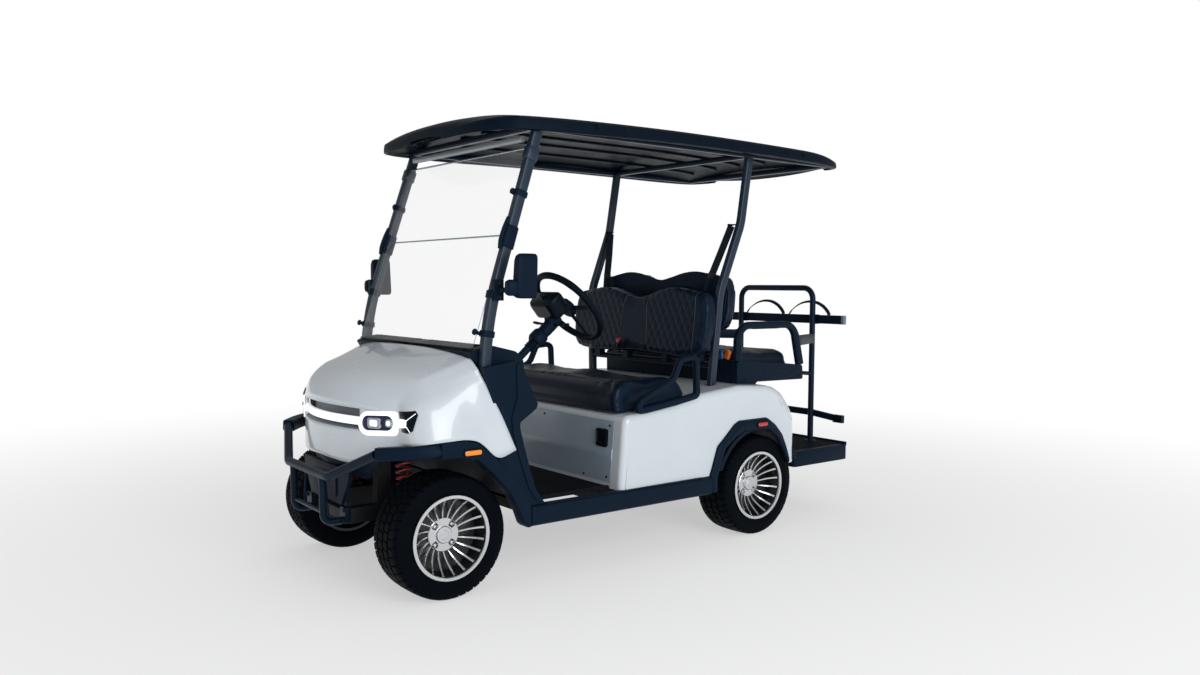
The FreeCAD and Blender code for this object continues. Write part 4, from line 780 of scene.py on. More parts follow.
def bodyShapes():
    half, r = bodySize["half"], bodySize["edgeRadius"]
    path = roundedPath([(0, *p) for p in bodyPath],
                       [0, .034] + [.12] * 3 + [.06, .12, .12, .06, .06, .06, .06, .06, .06, 0], 5)[:, 1:]
    along = np.gradient(path, axis=0)
    along /= np.linalg.norm(along, axis=1, keepdims=True)
    normal = np.stack([-along[:, 1], along[:, 0]], -1)
    theta = np.linspace(0, tau / 4, 8)
    inset = np.concatenate([r * (1 - np.cos(theta)), [r + .004]])
    x = np.concatenate([half - r + r * np.sin(theta), [half]])
    side = np.stack([np.concatenate([np.full((len(path), 1), v), path - normal * i], 1)
                     for v, i in zip(x, inset)], 1)
    flat = np.linspace(-(half - r), half - r, 25)[1:-1]
    middle = np.stack([np.concatenate([np.full((len(path), 1), v), path], 1) for v in flat], 1)
    skin = np.concatenate([side[:, ::-1] * [-1, 1, 1], middle, side], 1)
    outline = np.concatenate([side[:, -1, 1:], archEdge])
    wall = np.concatenate([np.full((len(outline), 1), half), outline], 1)
    shapes = [grid(tailRounded(skin)), (tailRounded(wall), [np.arange(len(wall))[None, ::-1]])]
    shapes.append(mirrored(shapes[1]))
    return shapes


piece("rearShell", bodyShapes(), [silverPaint], replaces=["rear_body"], angle=30,
      solid=bodySize["wall"], weld=.0003, flat=True)

# seat box front: service panel painted a darker grey-blue than the silver body as painted shade, with a
# pressed band, its screws and the charge socket
# painted shade: the panel's grey-blue stands in for the shade its front face sits in
paintedShadePanel = finish("panelPaintedShade", "#95A5B2", "#8998A5", rough=.34, roughVary=.04, grainMm=3.0,
                    grainDepth=.04, Coat_Weight=.4, Coat_Roughness=.1)
servicePanel = {"half": .520, "low": .346, "high": .614, "leanY": -.2746, "lean": .0766,
                "bandLow": .455, "bandHigh": .482}


def panelY(z):
    return servicePanel["leanY"] + (z - servicePanel["low"]) * servicePanel["lean"]


def panelShapes():
    p = servicePanel
    z = np.array([p["low"], p["low"] + .004, .440, p["bandLow"], p["bandHigh"], .497, p["high"] - .004,
                  p["high"]])
    out = np.array([.001, .005, .005, .0085, .0085, .005, .005, .001])
    y = panelY(z) - out
    loop = xyz(np.zeros_like(z), y, z)
    across = np.array([-p["half"], -p["half"] + .004, p["half"] - .004, p["half"]])
    rows = np.repeat(loop[None], 4, 0)
    rows[:, :, 0] = across[:, None]
    rows[[0, 3], :, 1] = panelY(z) - .0005
    face = grid(rows, flip=True)
    screws = []
    for x, zz in ((-.49, .37), (.49, .37), (-.49, .59), (.49, .59), (.0, .59), (.33, .362)):
        head = turned([(0, .0), (.0, .006), (.0018, .0052), (.0024, .003), (.0016, .0028), (.0016, .0)], 16,
                      closed=False)
        dome = head[0][:, [1, 0, 2]] * [1, -1, 1] + [x, panelY(zz) - .005, zz]
        screws.append((dome, head[1], 1))
    return [(*face, 0)] + screws


piece("servicePanel", panelShapes(), [paintedShadePanel, coatedSteel],
      replaces=["access_panel"], angle=30)


inlet = {"x": .447, "z": .535, "width": .074, "height": .078}


def socketShapes():
    # lidded charging inlet: bevelled frame, hinged lid, thumb catch
    y = panelY(inlet["z"]) - .0045
    frameLine = roundBox(inlet["width"], inlet["height"], .010, 5) + [inlet["x"], inlet["z"]]
    steps = [(0, 0), (0, -.010), (.003, -.0125), (.010, -.0125), (.011, -.009)]

    def ringAt(inset, out):
        p = drawnIn(frameLine, inset)
        return xz(p[:, 0], p[:, 1], np.full(len(p), y + out))

    frameRing = np.stack([ringAt(*s) for s in steps])
    flap = np.stack([ringAt(*s) for s in [(.0115, -.009), (.0125, -.0135), (.015, -.0145), (.022, -.015),
                                          (.030, -.0145)]])
    catch = sweep(roundBox(.010, .006, .002), levelRun(.430, .464, y - .016, .512), side=(0, 0, 1))
    hinge = tube(levelRun(.426, .468, y - .012, .571), .0035, count=12)
    return [grid(frameRing, wrapV=True), grid(flap, wrapV=True), lid(flap[-1]), catch, hinge]


piece("chargeInlet", socketShapes(), [glossMoulding], replaces=["charge_socket"])


def resample(points, count):
    p = np.asarray(points, float)
    run = np.concatenate([[0], np.cumsum(np.linalg.norm(np.diff(p, axis=0), axis=1))])
    t = np.linspace(0, run[-1], count)
    return np.stack([np.interp(t, run, p[:, k]) for k in range(p.shape[1])], -1)


def flare(upper, lower, section):
    # section: (share from upper to lower line, x), the same all along the arch
    count = 70
    up, low = (resample(roundedPath([(0, *p) for p in line], .03, 6)[:, 1:], count)
               for line in (upper, lower))
    rows = [np.concatenate([np.full((count, 1), x), up + (low - up) * share], 1) for share, x in section]
    return capped(np.stack(rows, 1))


frontUpper = [(-1.135, .612), (-1.038, .6136), (-.988, .6026), (-.958, .5826), (-.895, .5296),
              (-.828, .457), (-.763, .376), (-.738, .324), (-.738, .246)]
frontLower = [(-1.135, .549), (-1.059, .547), (-.983, .534), (-.915, .474), (-.835, .385),
              (-.793, .309), (-.772, .256), (-.757, .244)]
rearUpper = [(.252, .250), (.252, .328), (.275, .391), (.299, .458), (.344, .495), (.409, .552),
             (.439, .566), (.630, .567), (.687, .531), (.739, .478), (.770, .416), (.785, .366)]
rearLower = [(.289, .252), (.289, .315), (.314, .382), (.339, .447), (.410, .494), (.470, .519),
             (.637, .511), (.696, .467), (.733, .415), (.779, .333)]
frontSection = [(-.01, .592), (.04, .598), (.30, .6015), (.72, .6018), (.94, .600), (1.0, .594),
                (1.0, .544), (.80, .542), (.10, .560)]
rearSection = [(-.01, .5826), (.06, .592), (.38, .601), (.70, .6018), (.94, .600), (1.0, .596),
               (1.0, .584), (.96, .5826), (.5, .5826)]
armPath = smoothPath([(.571, -1.118, .581), (.566, -1.155, .579), (.545, -1.205, .576),
                      (.500, -1.262, .573), (.445, -1.318, .568)], 22)
arm = sweep(roundBox(.052, .050, .010), armPath, side=(0, 1, 0))
trims = [flare(frontUpper, frontLower, frontSection), flare(rearUpper, rearLower, rearSection), arm]
piece("fenderTrims", bothSides(trims), [blackMoulding], replaces=["fender_trims"],
      angle=32)


def markerShapes(low, high, x):
    # a rounded lens in a dark bezel, on the flare's outer face
    (y0, z0), (y1, z1) = low, high
    shapes = []
    bezel = [(0, 0), (0, .0035), (.002, .0042), (.006, .0042), (.006, .002)]
    cap = [(0, .001), (0, .005), (.002, .0065), (.006, .007), (.0105, .0072)]
    for grow, steps, mark in ((.004, bezel, 1), (-.0015, cap, 0)):
        line = roundBox(y1 - y0 + 2 * grow, z1 - z0 + 2 * grow, .007, 5)
        line += [(y0 + y1) / 2, (z0 + z1) / 2]
        middle = line.mean(0)
        rows = []
        for inset, out in steps:
            half = np.array([y1 - y0, z1 - z0]) / 2 + grow
            p = middle + (line - middle) * (1 - inset / half)
            rows.append(xyz(np.full(len(p), x + out), p[:, 0], p[:, 1]))
        points = np.stack(rows)
        shapes.append((*grid(points, wrapV=True), mark))
        if not mark:
            shapes.append(lid(points[-1], mark))
    return shapes


for name, node, material, slot, span in (
        ("frontMarkers", "front_markers", amberLens, "amber_lens", ((-1.043, .5545), (-.969, .5755))),
        ("rearLamps", "rear_lamps", redLens, "red_lens", ((.549, .530), (.615, .550)))):
    shapes = markerShapes(*span, .6022)
    if node == "rear_lamps":
        outline = roundBox(.072, .098, .012, 5) + [.4325, .490]
        y = np.interp(outline[:, 1], [.440, .476, .540], [.8905, .8875, .8800])
        middle = outline.mean(0)
        rows = []
        for shrink, out in ((1, -.002), (1, .008), (.96, .0105), (.80, .011)):
            p = middle + (outline - middle) * shrink
            rows.append(xyz(p[:, 0], y + out, p[:, 1]))
        tail = tailRounded(np.stack(rows))
        shapes += [(*grid(tail, wrapV=True), 0), lid(tail[-1], 0)]
    piece(name, bothSides(shapes), [material, glossMoulding], replaces=[node])

cowlOutline = [(-.950, .878), (-.789, .902), (-.783, .900), (-.744, .810), (-.701, .725), (-.710, .706),
               (-.785, .657), (-.782, .626), (-.746, .497), (-.709, .387), (-.668, .330), (-.668, .3245),
               (-.745, .3245), (-.790, .376), (-.845, .457), (-.885, .530), (-.850, .565), (-.900, .714)]


def sideCowlShapes():
    # dished moulding with a raised rear strip along the door opening
    rounded = roundedPath([(0, *p) for p in cowlOutline + cowlOutline[:1]], .012, 4)[:-1, 1:]
    main = plate(rounded, (.556, .586), yz)
    strip = [(-.806, .880), (-.790, .893), (-.783, .890), (-.748, .806), (-.712, .728), (-.720, .712),
             (-.797, .664), (-.795, .622), (-.758, .495), (-.722, .390), (-.690, .345), (-.712, .345),
             (-.745, .395), (-.783, .500), (-.822, .625), (-.826, .680), (-.800, .760)]
    rounded = roundedPath([(0, *p) for p in strip + strip[:1]], .010, 4)[:-1, 1:]
    return [main, plate(rounded, (.584, .5915), yz)]


piece("sideCowls", bothSides(sideCowlShapes()), [blackMoulding],
      replaces=["side_cowls"], angle=32, bevel=.004)


sill = {"x": .5755, "z": .2835, "width": .049, "height": .080, "front": -.7355, "rear": .251}


def sillShapes():
    line = [(sill["x"], y, sill["z"]) for y in (sill["front"], -.60, sill["rear"])]
    rail = sweep(roundBox(sill["width"], sill["height"], .012, 5), line)
    step = sweep(roundBox(.030, .004, .0015, 3), [(.580, -.66, .3248), (.580, .20, .3248)])
    return [rail, step]


piece("sillRails", bothSides(sillShapes()), [blackMoulding], replaces=["sills"])
print("body ready")


# roof: rows front to back (y, half width, edge height, crown height)
roofRows = np.array([
    (-.902, .200, 1.7840, 1.8380), (-.893, .330, 1.7860, 1.8480), (-.868, .430, 1.7890, 1.8620),
    (-.815, .498, 1.7930, 1.8780), (-.720, .546, 1.7960, 1.8930), (-.445, .592, 1.8000, 1.9080),
    (.020, .600, 1.8080, 1.9110), (.495, .600, 1.8080, 1.9110), (.945, .588, 1.8040, 1.8960),
    (1.150, .548, 1.8020, 1.8680), (1.228, .490, 1.8060, 1.8460), (1.250, .430, 1.8080, 1.8340)])
roof = {"ribs": 5, "ribSpread": .36, "ribSpan": (-.60, 1.02), "ribWidth": .036, "ribHeight": .010,
        "plugs": (-.42, -.27, .12, .32, .74, .86)}


def roofShape():
    # section: side face, rolled shoulder, crowned top, then the hollow underside with a lip
    rows = smoothPath(roofRows, 91)
    y, half, edge, crown = (rows[:, k:k + 1] for k in range(4))
    depth = np.clip((crown - edge) * .62, .02, .058)
    t = np.linspace(0, 1, 15)
    side = [(half - .010, edge), (half, edge + .004), (half, edge + depth * .5),
            (half - .004, edge + depth * .8), (half - .014, edge + depth * .96)]
    shoulder = half - .030
    top = [(shoulder * (1 - k), edge + depth + (crown - edge - depth) * (1 - (1 - k) ** 2.4)) for k in t]
    under = [(shoulder * (1 - k) - .012 * (k < .99), edge + .012 + (crown - edge - .045)
              * (1 - (1 - k) ** 2.4)) for k in t][::-1]
    lip = [(half - .040, edge + .012), (half - .026, edge + .001)]
    line = side + top + under[:-1] + lip
    x = np.concatenate([np.broadcast_to(p[0], y.shape) for p in line], 1)
    z = np.concatenate([np.broadcast_to(p[1], y.shape) for p in line], 1)
    k = len(side) + len(top)
    right = xyz(x, np.broadcast_to(y, x.shape), z)
    left = right[:, ::-1] * [-1, 1, 1]
    outer = np.concatenate([right[:, :k], left[:, -k:][:, 1:]], 1)
    inner = np.concatenate([left[:, :-k], right[:, k:]], 1)
    loop = np.concatenate([outer, inner], 1)
    return capped(loop)


def roofDetails():
    # round plugs along the side faces and stiffening ribs; the dark oval well underneath comes from roofWell
    shapes = []
    for y in roof["plugs"]:
        plug = turned([(0, .0), (0, .011), (.0012, .011), (.0022, .0095), (.0012, .0078), (.0012, 0)], 20,
                      closed=False)
        shapes.append(moved(plug, .5975, y, 1.836))
    for x in np.linspace(-roof["ribSpread"], roof["ribSpread"], roof["ribs"]):
        y = np.linspace(*roof["ribSpan"], 30)
        crown = np.interp(y, roofRows[:, 0], roofRows[:, 3])
        edge = np.interp(y, roofRows[:, 0], roofRows[:, 2])
        z = edge + .012 + (crown - edge - .045) * (1 - (abs(x) / .57) ** 2.4)
        line = xyz(np.full_like(y, x), y, z - .004)
        shapes.append(sweep(roundBox(roof["ribWidth"], roof["ribHeight"], .0045, 3), line))
    return shapes


well = {"halfX": .36, "halfY": .070, "y": -.755, "z": 1.826}


def roofWell():
    a = np.arange(48) / 48 * tau
    rows = []
    for shrink, drop in ((1.0, -.004), (1.0, -.010), (.93, -.010), (.90, .001), (.6, .004), (.02, .004)):
        x, y = np.cos(a) * well["halfX"] * shrink, np.sin(a) * well["halfY"] * shrink + well["y"]
        z = well["z"] + .022 * (1 - (np.abs(x) / .5) ** 2) + (y - well["y"]) * .25 + drop
        rows.append(xyz(x, y, z))
    return grid(np.stack(rows), wrapV=True, flip=True)


details = roofDetails()
details += [mirrored(d) for d in details[:len(roof["plugs"])]]
piece("roofCanopy", [roofShape(), *details, (*roofWell(), 1)], [roofSkin, glossMoulding],
      replaces=["roof"], angle=32)

rails = [sweep(roundBox(.028, .024, .006), [(.505, -.762, 1.817), (.505, 1.152, 1.817)])]
rails.append(mirrored(rails[0]))
for y in (-.674, .571, 1.140):
    rails.append(sweep(roundBox(.030, .026, .006), levelRun(-.503, .503, y, 1.817), side=(0, 1, 0)))
piece("roofRails", rails, [coatedSteel], replaces=["roof_frame"])

# pillars: square tube with rounded corners, saddle clamps and their knobs
pillarFoot, pillarTop = np.array([.533, -.964, .872]), np.array([.517, -.674, 1.774])
pillarEase = {"reach": .050, "part": .39}
slatePaint = finish("pillarPowderCoat", "#172534", "#1D2C3C", rough=.34, roughVary=.04, grainMm=2.0,
                    grainDepth=.1, Specular_IOR_Level=.3)


def pillarShapes():
    # the tube is straight above and eases upright over its lowest third: offset falls with the square
    def at(share):
        share = np.reshape(share, (-1, 1))
        ease = pillarEase["reach"] * np.clip(1 - share / pillarEase["part"], 0, 1.2) ** 2
        return pillarFoot + (pillarTop - pillarFoot) * share + ease * [0, 1, 0]
    length = np.linalg.norm(pillarTop - pillarFoot)
    shapes = [bar((.0315, .0435, .007), at(np.linspace(-.03, 1.027, 40)))]
    for share, tall, wide, mark in ((.145, .026, .040, 1), (.56, .090, .041, 1), (.75, .024, .040, 1),
                                    (.925, .052, .042, 0), (.31, .030, .041, 1)):
        half = tall / 2 / length
        run = at(share + np.array([-1, -1 + .006 / tall, 0, 1 - .006 / tall, 1]) * half)
        shapes.append(bar((wide, .054, .010), run, mark, scale=[.94, 1, 1, 1, .94]))
    along = (pillarTop - pillarFoot) / length
    ahead = np.cross(along, (1, 0, 0))
    ahead *= -np.sign(ahead[1]) if ahead[1] > 0 else 1
    for share in (.145, .75):
        middle = pillarFoot + (pillarTop - pillarFoot) * share - [.010, 0, 0]
        behind = at(share)[0, 1] - middle[1]
        run = [middle + ahead * d for d in (.020 - behind, .026, .027, .034, .037)]
        shapes.append((*sweep(circle(.0125, 18), run, scale=[.6, .6, 1, 1, .8]), 1))
    middle = pillarFoot + (pillarTop - pillarFoot) * .56
    lever = [middle + ahead * .024 - along * .055, middle + ahead * .031 - along * .02,
             middle + ahead * .029 + along * .03, middle + ahead * .022 + along * .075]
    shapes.append(bar((.020, .012, .004), smoothPath(lever, 12), 1))
    strut = roundedPath([(.497, .571, 1.806), (.497, .521, 1.490), (.489, .395, 1.165), (.457, .380, .724)],
                        [0, .3, .25, 0], 12)
    shapes.append(bar((.0295, .0395, .007), strut))
    return shapes


piece("pillars", bothSides(pillarShapes()), [slatePaint, blackMoulding],
      replaces=["roof_pillars"])


def clearSheet(name, tint, gloss=.09, haze=0.0):
    # thin clear acrylic: lets light straight through, with a weak reflection that grows at a slant
    # and a faint dusty veil
    material = bpy.data.materials.new(name)
    material.use_nodes = True
    tree = material.node_tree
    tree.nodes.clear()
    through = addNode(tree, "BsdfTransparent", {"Color": linear(tint)})
    shine = addNode(tree, "BsdfGlossy", {"Roughness": .03, "Color": (1, 1, 1, 1)})
    slant = addNode(tree, "LayerWeight", {"Blend": .25})
    share = addNode(tree, "MapRange", {"Value": slant.outputs["Fresnel"], "To Min": .0, "To Max": gloss * 3})
    mix = addNode(tree, "MixShader", {0: share.outputs["Result"], 1: through.outputs[0], 2: shine.outputs[0]})
    dust = addNode(tree, "BsdfDiffuse", {"Color": (.95, .97, 1, 1)})
    veil = addNode(tree, "MixShader", {0: haze, 1: mix.outputs[0], 2: dust.outputs[0]})
    addNode(tree, "OutputMaterial", {"Surface": veil.outputs[0]})
    return material


clearAcrylic = clearSheet("clearAcrylicSheet", "#FFFFFF", gloss=.025, haze=.05)
sheetEdge = clearSheet("acrylicCutEdge", "#B4BEC3", gloss=.12, haze=.1)


# drawn aluminium channel, clear anodised: soft bright metal
anodisedChannel = finish("anodisedAluminium", "#A9AFB4", "#9DA3A8", rough=.38, roughVary=.04, metal=.6,
                         grainMm=1.2, grainDepth=.08)


pane = {"width": 1.010, "gauge": .0044, "split": ((.072, .533, .03), (.537, .899, .012)), "ahead": .010}


def paneShapes():
    along = (pillarTop - pillarFoot) * [0, 1, 1]
    along /= np.linalg.norm(along)
    ahead = np.array([0, -along[2], along[1]])
    base = pillarFoot * [0, 1, 1] + ahead * pane["ahead"]
    shapes = []

    def place(u, v, w):
        return base + u[:, None] * [1, 0, 0] + v[:, None] * along + w[:, None] * ahead

    for low, high, corner in pane["split"]:
        line = roundBox(pane["width"], high - low, corner, 5) + [0, (low + high) / 2]
        flat, faces = plate(line, (-pane["gauge"] / 2, pane["gauge"] / 2), place)
        side = faces[0]
        shapes += [(flat, [side], 1), (flat, faces[1:], 0)]
    head = base + along * .8995
    bend = [head, head + [0, .004, .004], head + [0, .060, .0142]]
    shapes.append(bar((pane["width"], pane["gauge"], .002, 2), bend, 1))
    for v in (.535, .0735):
        shapes.append(bar((.006, .010, .002, 3), [base + along * v + [x, 0, 0] for x in (-.5, .5)],
                          1 if v > .1 else 2, side=(0, 0, 1)))
    # bright aluminium channel along the head of the upper pane
    channel = [(-.500, -.680, 1.779), (.455, -.690, 1.774)]
    shapes.append(bar((.016, .024, .003, 3), channel, 3, side=(0, 1, 0)))
    return shapes


piece("windscreenPanes", paneShapes(), [clearAcrylic, sheetEdge, glossMoulding, anodisedChannel],
      replaces=["windscreen"])

# brush guard: bent steel tube with end plates and bolts
guardY = -1.407
guard = {"bow": .0178, "loops": .0148, "stays": .006, "cross": .0085, "loopX": .15}


def guardShapes():
    bow = [(-.440, -1.321, .566), (-.205, guardY, .457), (.205, guardY, .457), (.440, -1.321, .566)]
    shapes = [tube(bow, guard["bow"], bend=.06, count=20)]
    for x in (-guard["loopX"], guard["loopX"]):
        loop = [(x, guardY, .457), (x, guardY + .004, .268), (x, -1.330, .268)]
        shapes.append(tube(loop, guard["loops"], bend=.075, count=18, side=(1, 0, 0)))
        inner = [(x * .62, guardY + .030, .440), (x * .80, guardY + .034, .285)]
        shapes.append(tube(inner, guard["stays"], count=10, side=(1, 0, 0)))
        side = np.sign(x)
        flange = roundBox(.048, .062, .006, 4) + [x + side * .020, .293]
        shapes.append(plate(flange, (-1.3345, -1.3165), xz))
        for z in (.272, .314):
            bolt = hexBolt(.008, .007)
            p = bolt[0][:, [1, 0, 2]] * [1, -1, 1] + [x + side * .034, -1.334, z]
            shapes.append((p, bolt[1]))
    cross = levelRun(-.136, .136, guardY + .004, .310)
    shapes.append(tube(cross, guard["cross"], count=14))
    return shapes


piece("brushGuard", guardShapes(), [coatedSteel], replaces=["brush_guard"])


def valanceShapes():
    # bumper skirt: wide lip under the nose, narrower apron with a pressed panel below
    lipLine = noseFront(np.linspace(-.34, .34, 31), .0)
    lipLine[:, 1] += .026
    # each row: share of the width, how far it leans back, height
    rows = [xyz(lipLine[:, 0] * k, lipLine[:, 1] + d, np.full(31, z)) for k, d, z in
            ((1, 0, .545), (1, -.006, .530), (.93, -.004, .505), (.80, .0, .480), (.72, .004, .440))]
    lipSkin = np.stack(rows, 1)
    lipSkin[..., 1] = np.clip(lipSkin[..., 1], -1.346, None)
    apron = plate([(-.225, .475), (.225, .475), (.222, .44), (.150, .330), (-.150, .330), (-.222, .44)],
                  (-1.332, -1.3185), xz)
    pressed = plate(roundBox(.22, .085, .014, 5) + [0, .395], (-1.3375, -1.331), xz)
    return [grid(lipSkin), apron, pressed]


piece("noseSkirt", valanceShapes(), [blackMoulding], replaces=["front_valance"],
      solid=.003)
print("upper works ready")


def softened(outline, radius, steps=5):
    # closed polygon with every corner rounded
    p = np.asarray(outline, float)
    radii = np.broadcast_to(radius, len(p))
    start = (p[0] + p[-1]) / 2
    path = roundedPath(np.vstack([start, p, start]), np.r_[0, radii, 0], steps)
    return path[:-1]


# dashboard and the vented cowl panel in front of the windscreen
dashOutline = [(-.946, .893), (-.971, .930), (-.935, .946), (-.865, .956), (-.757, .930), (-.722, .892),
               (-.717, .820), (-.737, .702), (-.817, .696), (-.819, .830), (-.885, .830), (-.899, .880)]
dash = {"louvres": 7, "louvreIn": .05, "louvreOut": .44, "pockets": ((-.46, -.10), (-.08, .10))}


def dashShapes():
    outline = softened(dashOutline, [.004, .008, .03, .04, .03, .025, .03, .012, .004, .004, .004, .004])
    shapes = [plate(outline, (-.514, .514), yz)]
    for y in np.linspace(-.952, -.880, dash["louvres"]):
        z = np.interp(y, [-.971, -.935, -.865], [.930, .946, .956]) + .0015
        for side in (-1, 1):
            x0, x1 = sorted((side * dash["louvreIn"], side * dash["louvreOut"]))
            shapes.append(bar((.0055, .005, .0018, 3), levelRun(x0, x1, y, z), 1, side=(0, 1, 0)))
    for x0, x1 in dash["pockets"]:
        mouth = softened([(x0, .742), (x1, .742), (x1, .862), (x0, .862)], .018)
        path = xyz(mouth[:, 0], np.interp(mouth[:, 1], [.70, .82, .892], [-.735, -.7155, -.7205]),
                   mouth[:, 1])
        shapes.append((*sweep(circle(.004, 8), path, side=(0, 1, 0), closed=True), 1))
    for x in (.43, .455):
        knob = turned([(0, 0), (0, .010), (.010, .009), (.012, .007), (.012, 0)], 20, axis=1, closed=False)
        shapes.append((*moved(knob, x - .03, -.7185, .862), 2))
    return shapes


piece("dashPanel", dashShapes(), [blackMoulding, glossMoulding, machinedAlloy],
      replaces=["dash"], angle=30, bevel=.0025)

# floor: toe board and mat with fine ribs running across
matRibs = {"pitch": .012, "height": .0025}


def floorShapes():
    tray = softened([(-.276, .322), (-.276, .3325), (-.720, .3325), (-.826, .559), (-.826, .829),
                     (-.838, .829), (-.838, .558), (-.729, .322)],
                    [.002, .002, .04, .04, .002, .002, .04, .04])
    shapes = [plate(tray, (-.514, .514), yz)]
    for y in np.arange(-.292, -.716, -matRibs["pitch"]):
        rib = sweep(roundBox(.006, matRibs["height"] * 2, .0012, 3), levelRun(-.488, .488, y, .3325),
                    side=(0, 1, 0))
        shapes.append(rib)
    for k in range(9):
        share = (k + .7) / 9
        y, z = -.722 - .104 * share, .337 + .222 * share
        rib = sweep(roundBox(.010, .005, .0015, 3), levelRun(-.40, .12, y + .001, z), side=(0, .43, .9))
        shapes.append(rib)
    shapes.append(sweep(roundBox(.012, .006, .002, 3), [(.503, -.280, .334), (.503, -.715, .334)]))
    shapes.append(mirrored(shapes[-1]))
    return shapes


piece("floorMat", floorShapes(), [rubberMat], replaces=["floor"], angle=30)

# steering: hub point, shaft direction (rearward and up) and the wheel's own upward direction
steeringHub = np.array([.270, -.327, 1.098])
shaftAxis = np.array([0, math.cos(math.radians(40)), math.sin(math.radians(40))])
wheelUp = np.array([0, -shaftAxis[2], shaftAxis[1]])


def onHub(u, v, w):
    # u to the side, v up in the wheel's plane, w along the shaft
    u, v, w = (np.asarray(q, float)[..., None] for q in (u, v, w))
    return steeringHub + u * [1, 0, 0] + v * wheelUp + w * shaftAxis


ringSize = {"radius": .178, "grip": .0150, "swell": .0007, "spokes": (0, 180, 270)}


def wheelShapes():
    a = np.arange(72) / 72 * tau
    grip = ringSize["grip"] + ringSize["swell"] * np.cos(a * 4) ** 8
    ring = onHub(np.cos(a) * ringSize["radius"], np.sin(a) * ringSize["radius"], a * 0)
    side = onHub(np.cos(a), np.sin(a), a * 0) - steeringHub
    shapes = [sweep(circle(1, 14), ring, side=side, closed=True, scale=grip)]
    for angle in ringSize["spokes"]:
        t = math.radians(angle)
        run = np.array([.030, .075, .125, .172])
        path = onHub(np.cos(t) * run, np.sin(t) * run, [-.006, -.004, -.001, 0])
        wide = onHub(-np.sin(t), np.cos(t), 0) - steeringHub
        shapes.append(bar((.026, .009, .0035, 3), smoothPath(path, 10), 1, side=wide,
                          scale=np.interp(np.arange(10), [0, 5, 9], [1, .8, .95])))
    pad = [(-.021, 0), (-.021, .040), (-.016, .047), (.000, .0475), (.007, .044), (.0105, .034),
           (.0115, .015), (.0118, 0)]
    line = np.array(pad)
    a = np.arange(40) / 40 * tau
    disc = onHub(np.cos(a)[:, None] * line[:, 1], np.sin(a)[:, None] * line[:, 1],
                 np.broadcast_to(line[:, 0], (40, len(line))))
    shapes.append((*grid(disc, wrapU=True), 1))
    badge = roundBox(.034, .034, .0165, 6)
    k = len(badge)
    cap = onHub(np.r_[badge[:, 0], badge[:, 0] * .9], np.r_[badge[:, 1], badge[:, 1] * .9],
                np.r_[np.full(k, .0108), np.full(k, .0119)])
    shapes.append((*grid(cap.reshape(2, k, 3), wrapV=True), 2))
    shapes.append(lid(cap[k:], 2))
    shapes.append((*sweep(circle(.0105, 14), [steeringHub - shaftAxis * d for d in (.106, .018)]), 1))
    return shapes


grippedFoam = finish("mouldedFoamGrip", "#060C13", "#0A1119", rough=.5, roughVary=.05, grainMm=1.2,
                     grainDepth=.4, **paintedBlueSheen(.1))
piece("steeringRing", wheelShapes(), [grippedFoam, blackMoulding, glossMoulding], body="steering_wheel",
      replaces=["steering_wheel"])

displayGlass = finish("displayGlass", "#06090C", "#080C10", rough=.08, grainMm=4, grainDepth=.01,
                      Coat_Weight=1.0, Coat_Roughness=.03)


def columnShapes():
    def along(low, high, radii):
        run = np.linspace(low, high, len(radii))
        path = steeringHub + shaftAxis * run[:, None]
        return sweep(circle(1, 20), path, scale=radii)
    shapes = [along(-.43, -.182, [.0168] * 6)]
    shapes.append(along(-.178, -.072, [.028, .0295, .0295, .029, .0235]))
    shapes.append(along(-.236, -.174, [.030, .037, .0375, .0375, .036, .027]))
    for k in range(3):
        shapes.append(along(-.252 - k * .012, -.244 - k * .012, [.0185, .0225, .0185]))
    # display pod behind the wheel, its face to the driver
    face = steeringHub - shaftAxis * .036 + wheelUp * .072
    outline = roundBox(.168, .094, .016, 5)
    steps = [(0, .93), (-.004, .99), (-.012, 1.0), (-.050, 1.0), (-.070, .93), (-.082, .78), (-.085, .66)]
    skin = np.stack([face + outline[:, :1] * k * [1, 0, 0] + outline[:, 1:] * k * wheelUp + shaftAxis * d
                     for d, k in steps])
    shapes.append((*grid(skin, wrapV=True, flip=True), 1))
    shapes.append(lid(skin[0], 1))
    shapes.append(lid(skin[-1], 1, back=True))
    screen = roundBox(.128, .058, .006, 4)
    pane = np.stack([face + screen[:, :1] * q * [1, 0, 0] + (screen[:, 1:] * q + .006) * wheelUp
                     + shaftAxis * d for q, d in ((1, -.001), (.985, .0006))])
    shapes.append((*grid(pane, wrapV=True), 2))
    shapes.append(lid(pane[1], 2))
    knob = face + wheelUp * .044 - shaftAxis * .035
    shapes.append(sweep(circle(.014, 16), [knob + wheelUp * v for v in (0, .008, .010, .016)],
                        scale=[.7, .7, 1, .85]))
    neck = [steeringHub - shaftAxis * .110 + wheelUp * .01, steeringHub - shaftAxis * .090 + wheelUp * .045]
    shapes.append(bar((.05, .046, .012), neck, scale=[1, .9]))
    for side in (-1, 1):
        root = steeringHub - shaftAxis * .120
        path = root + [(side * x, 0, z) for x, z in ((.026, 0), (.07, .001), (.105, .003), (.129, .005))]
        shapes.append((*sweep(circle(1, 12), path, side=(0, 0, 1), scale=[.0062, .0055, .0068, .006]), 1))
    boot = [steeringHub - shaftAxis * d for d in (.430, .415, .400)]
    shapes.append(sweep(circle(1, 20), boot, scale=[.026, .024, .0185]))
    return shapes


piece("columnAndPod", columnShapes(), [blackMoulding, glossMoulding, displayGlass],
      replaces=["steering_column"])

# door mirrors: rounded shell, glass to the rear, stubby arm with a ball shroud and a pillar bracket
silverGlass = finish("mirrorGlass", "#DDE3E6", rough=.03, metal=1, grainMm=5, grainDepth=.01)


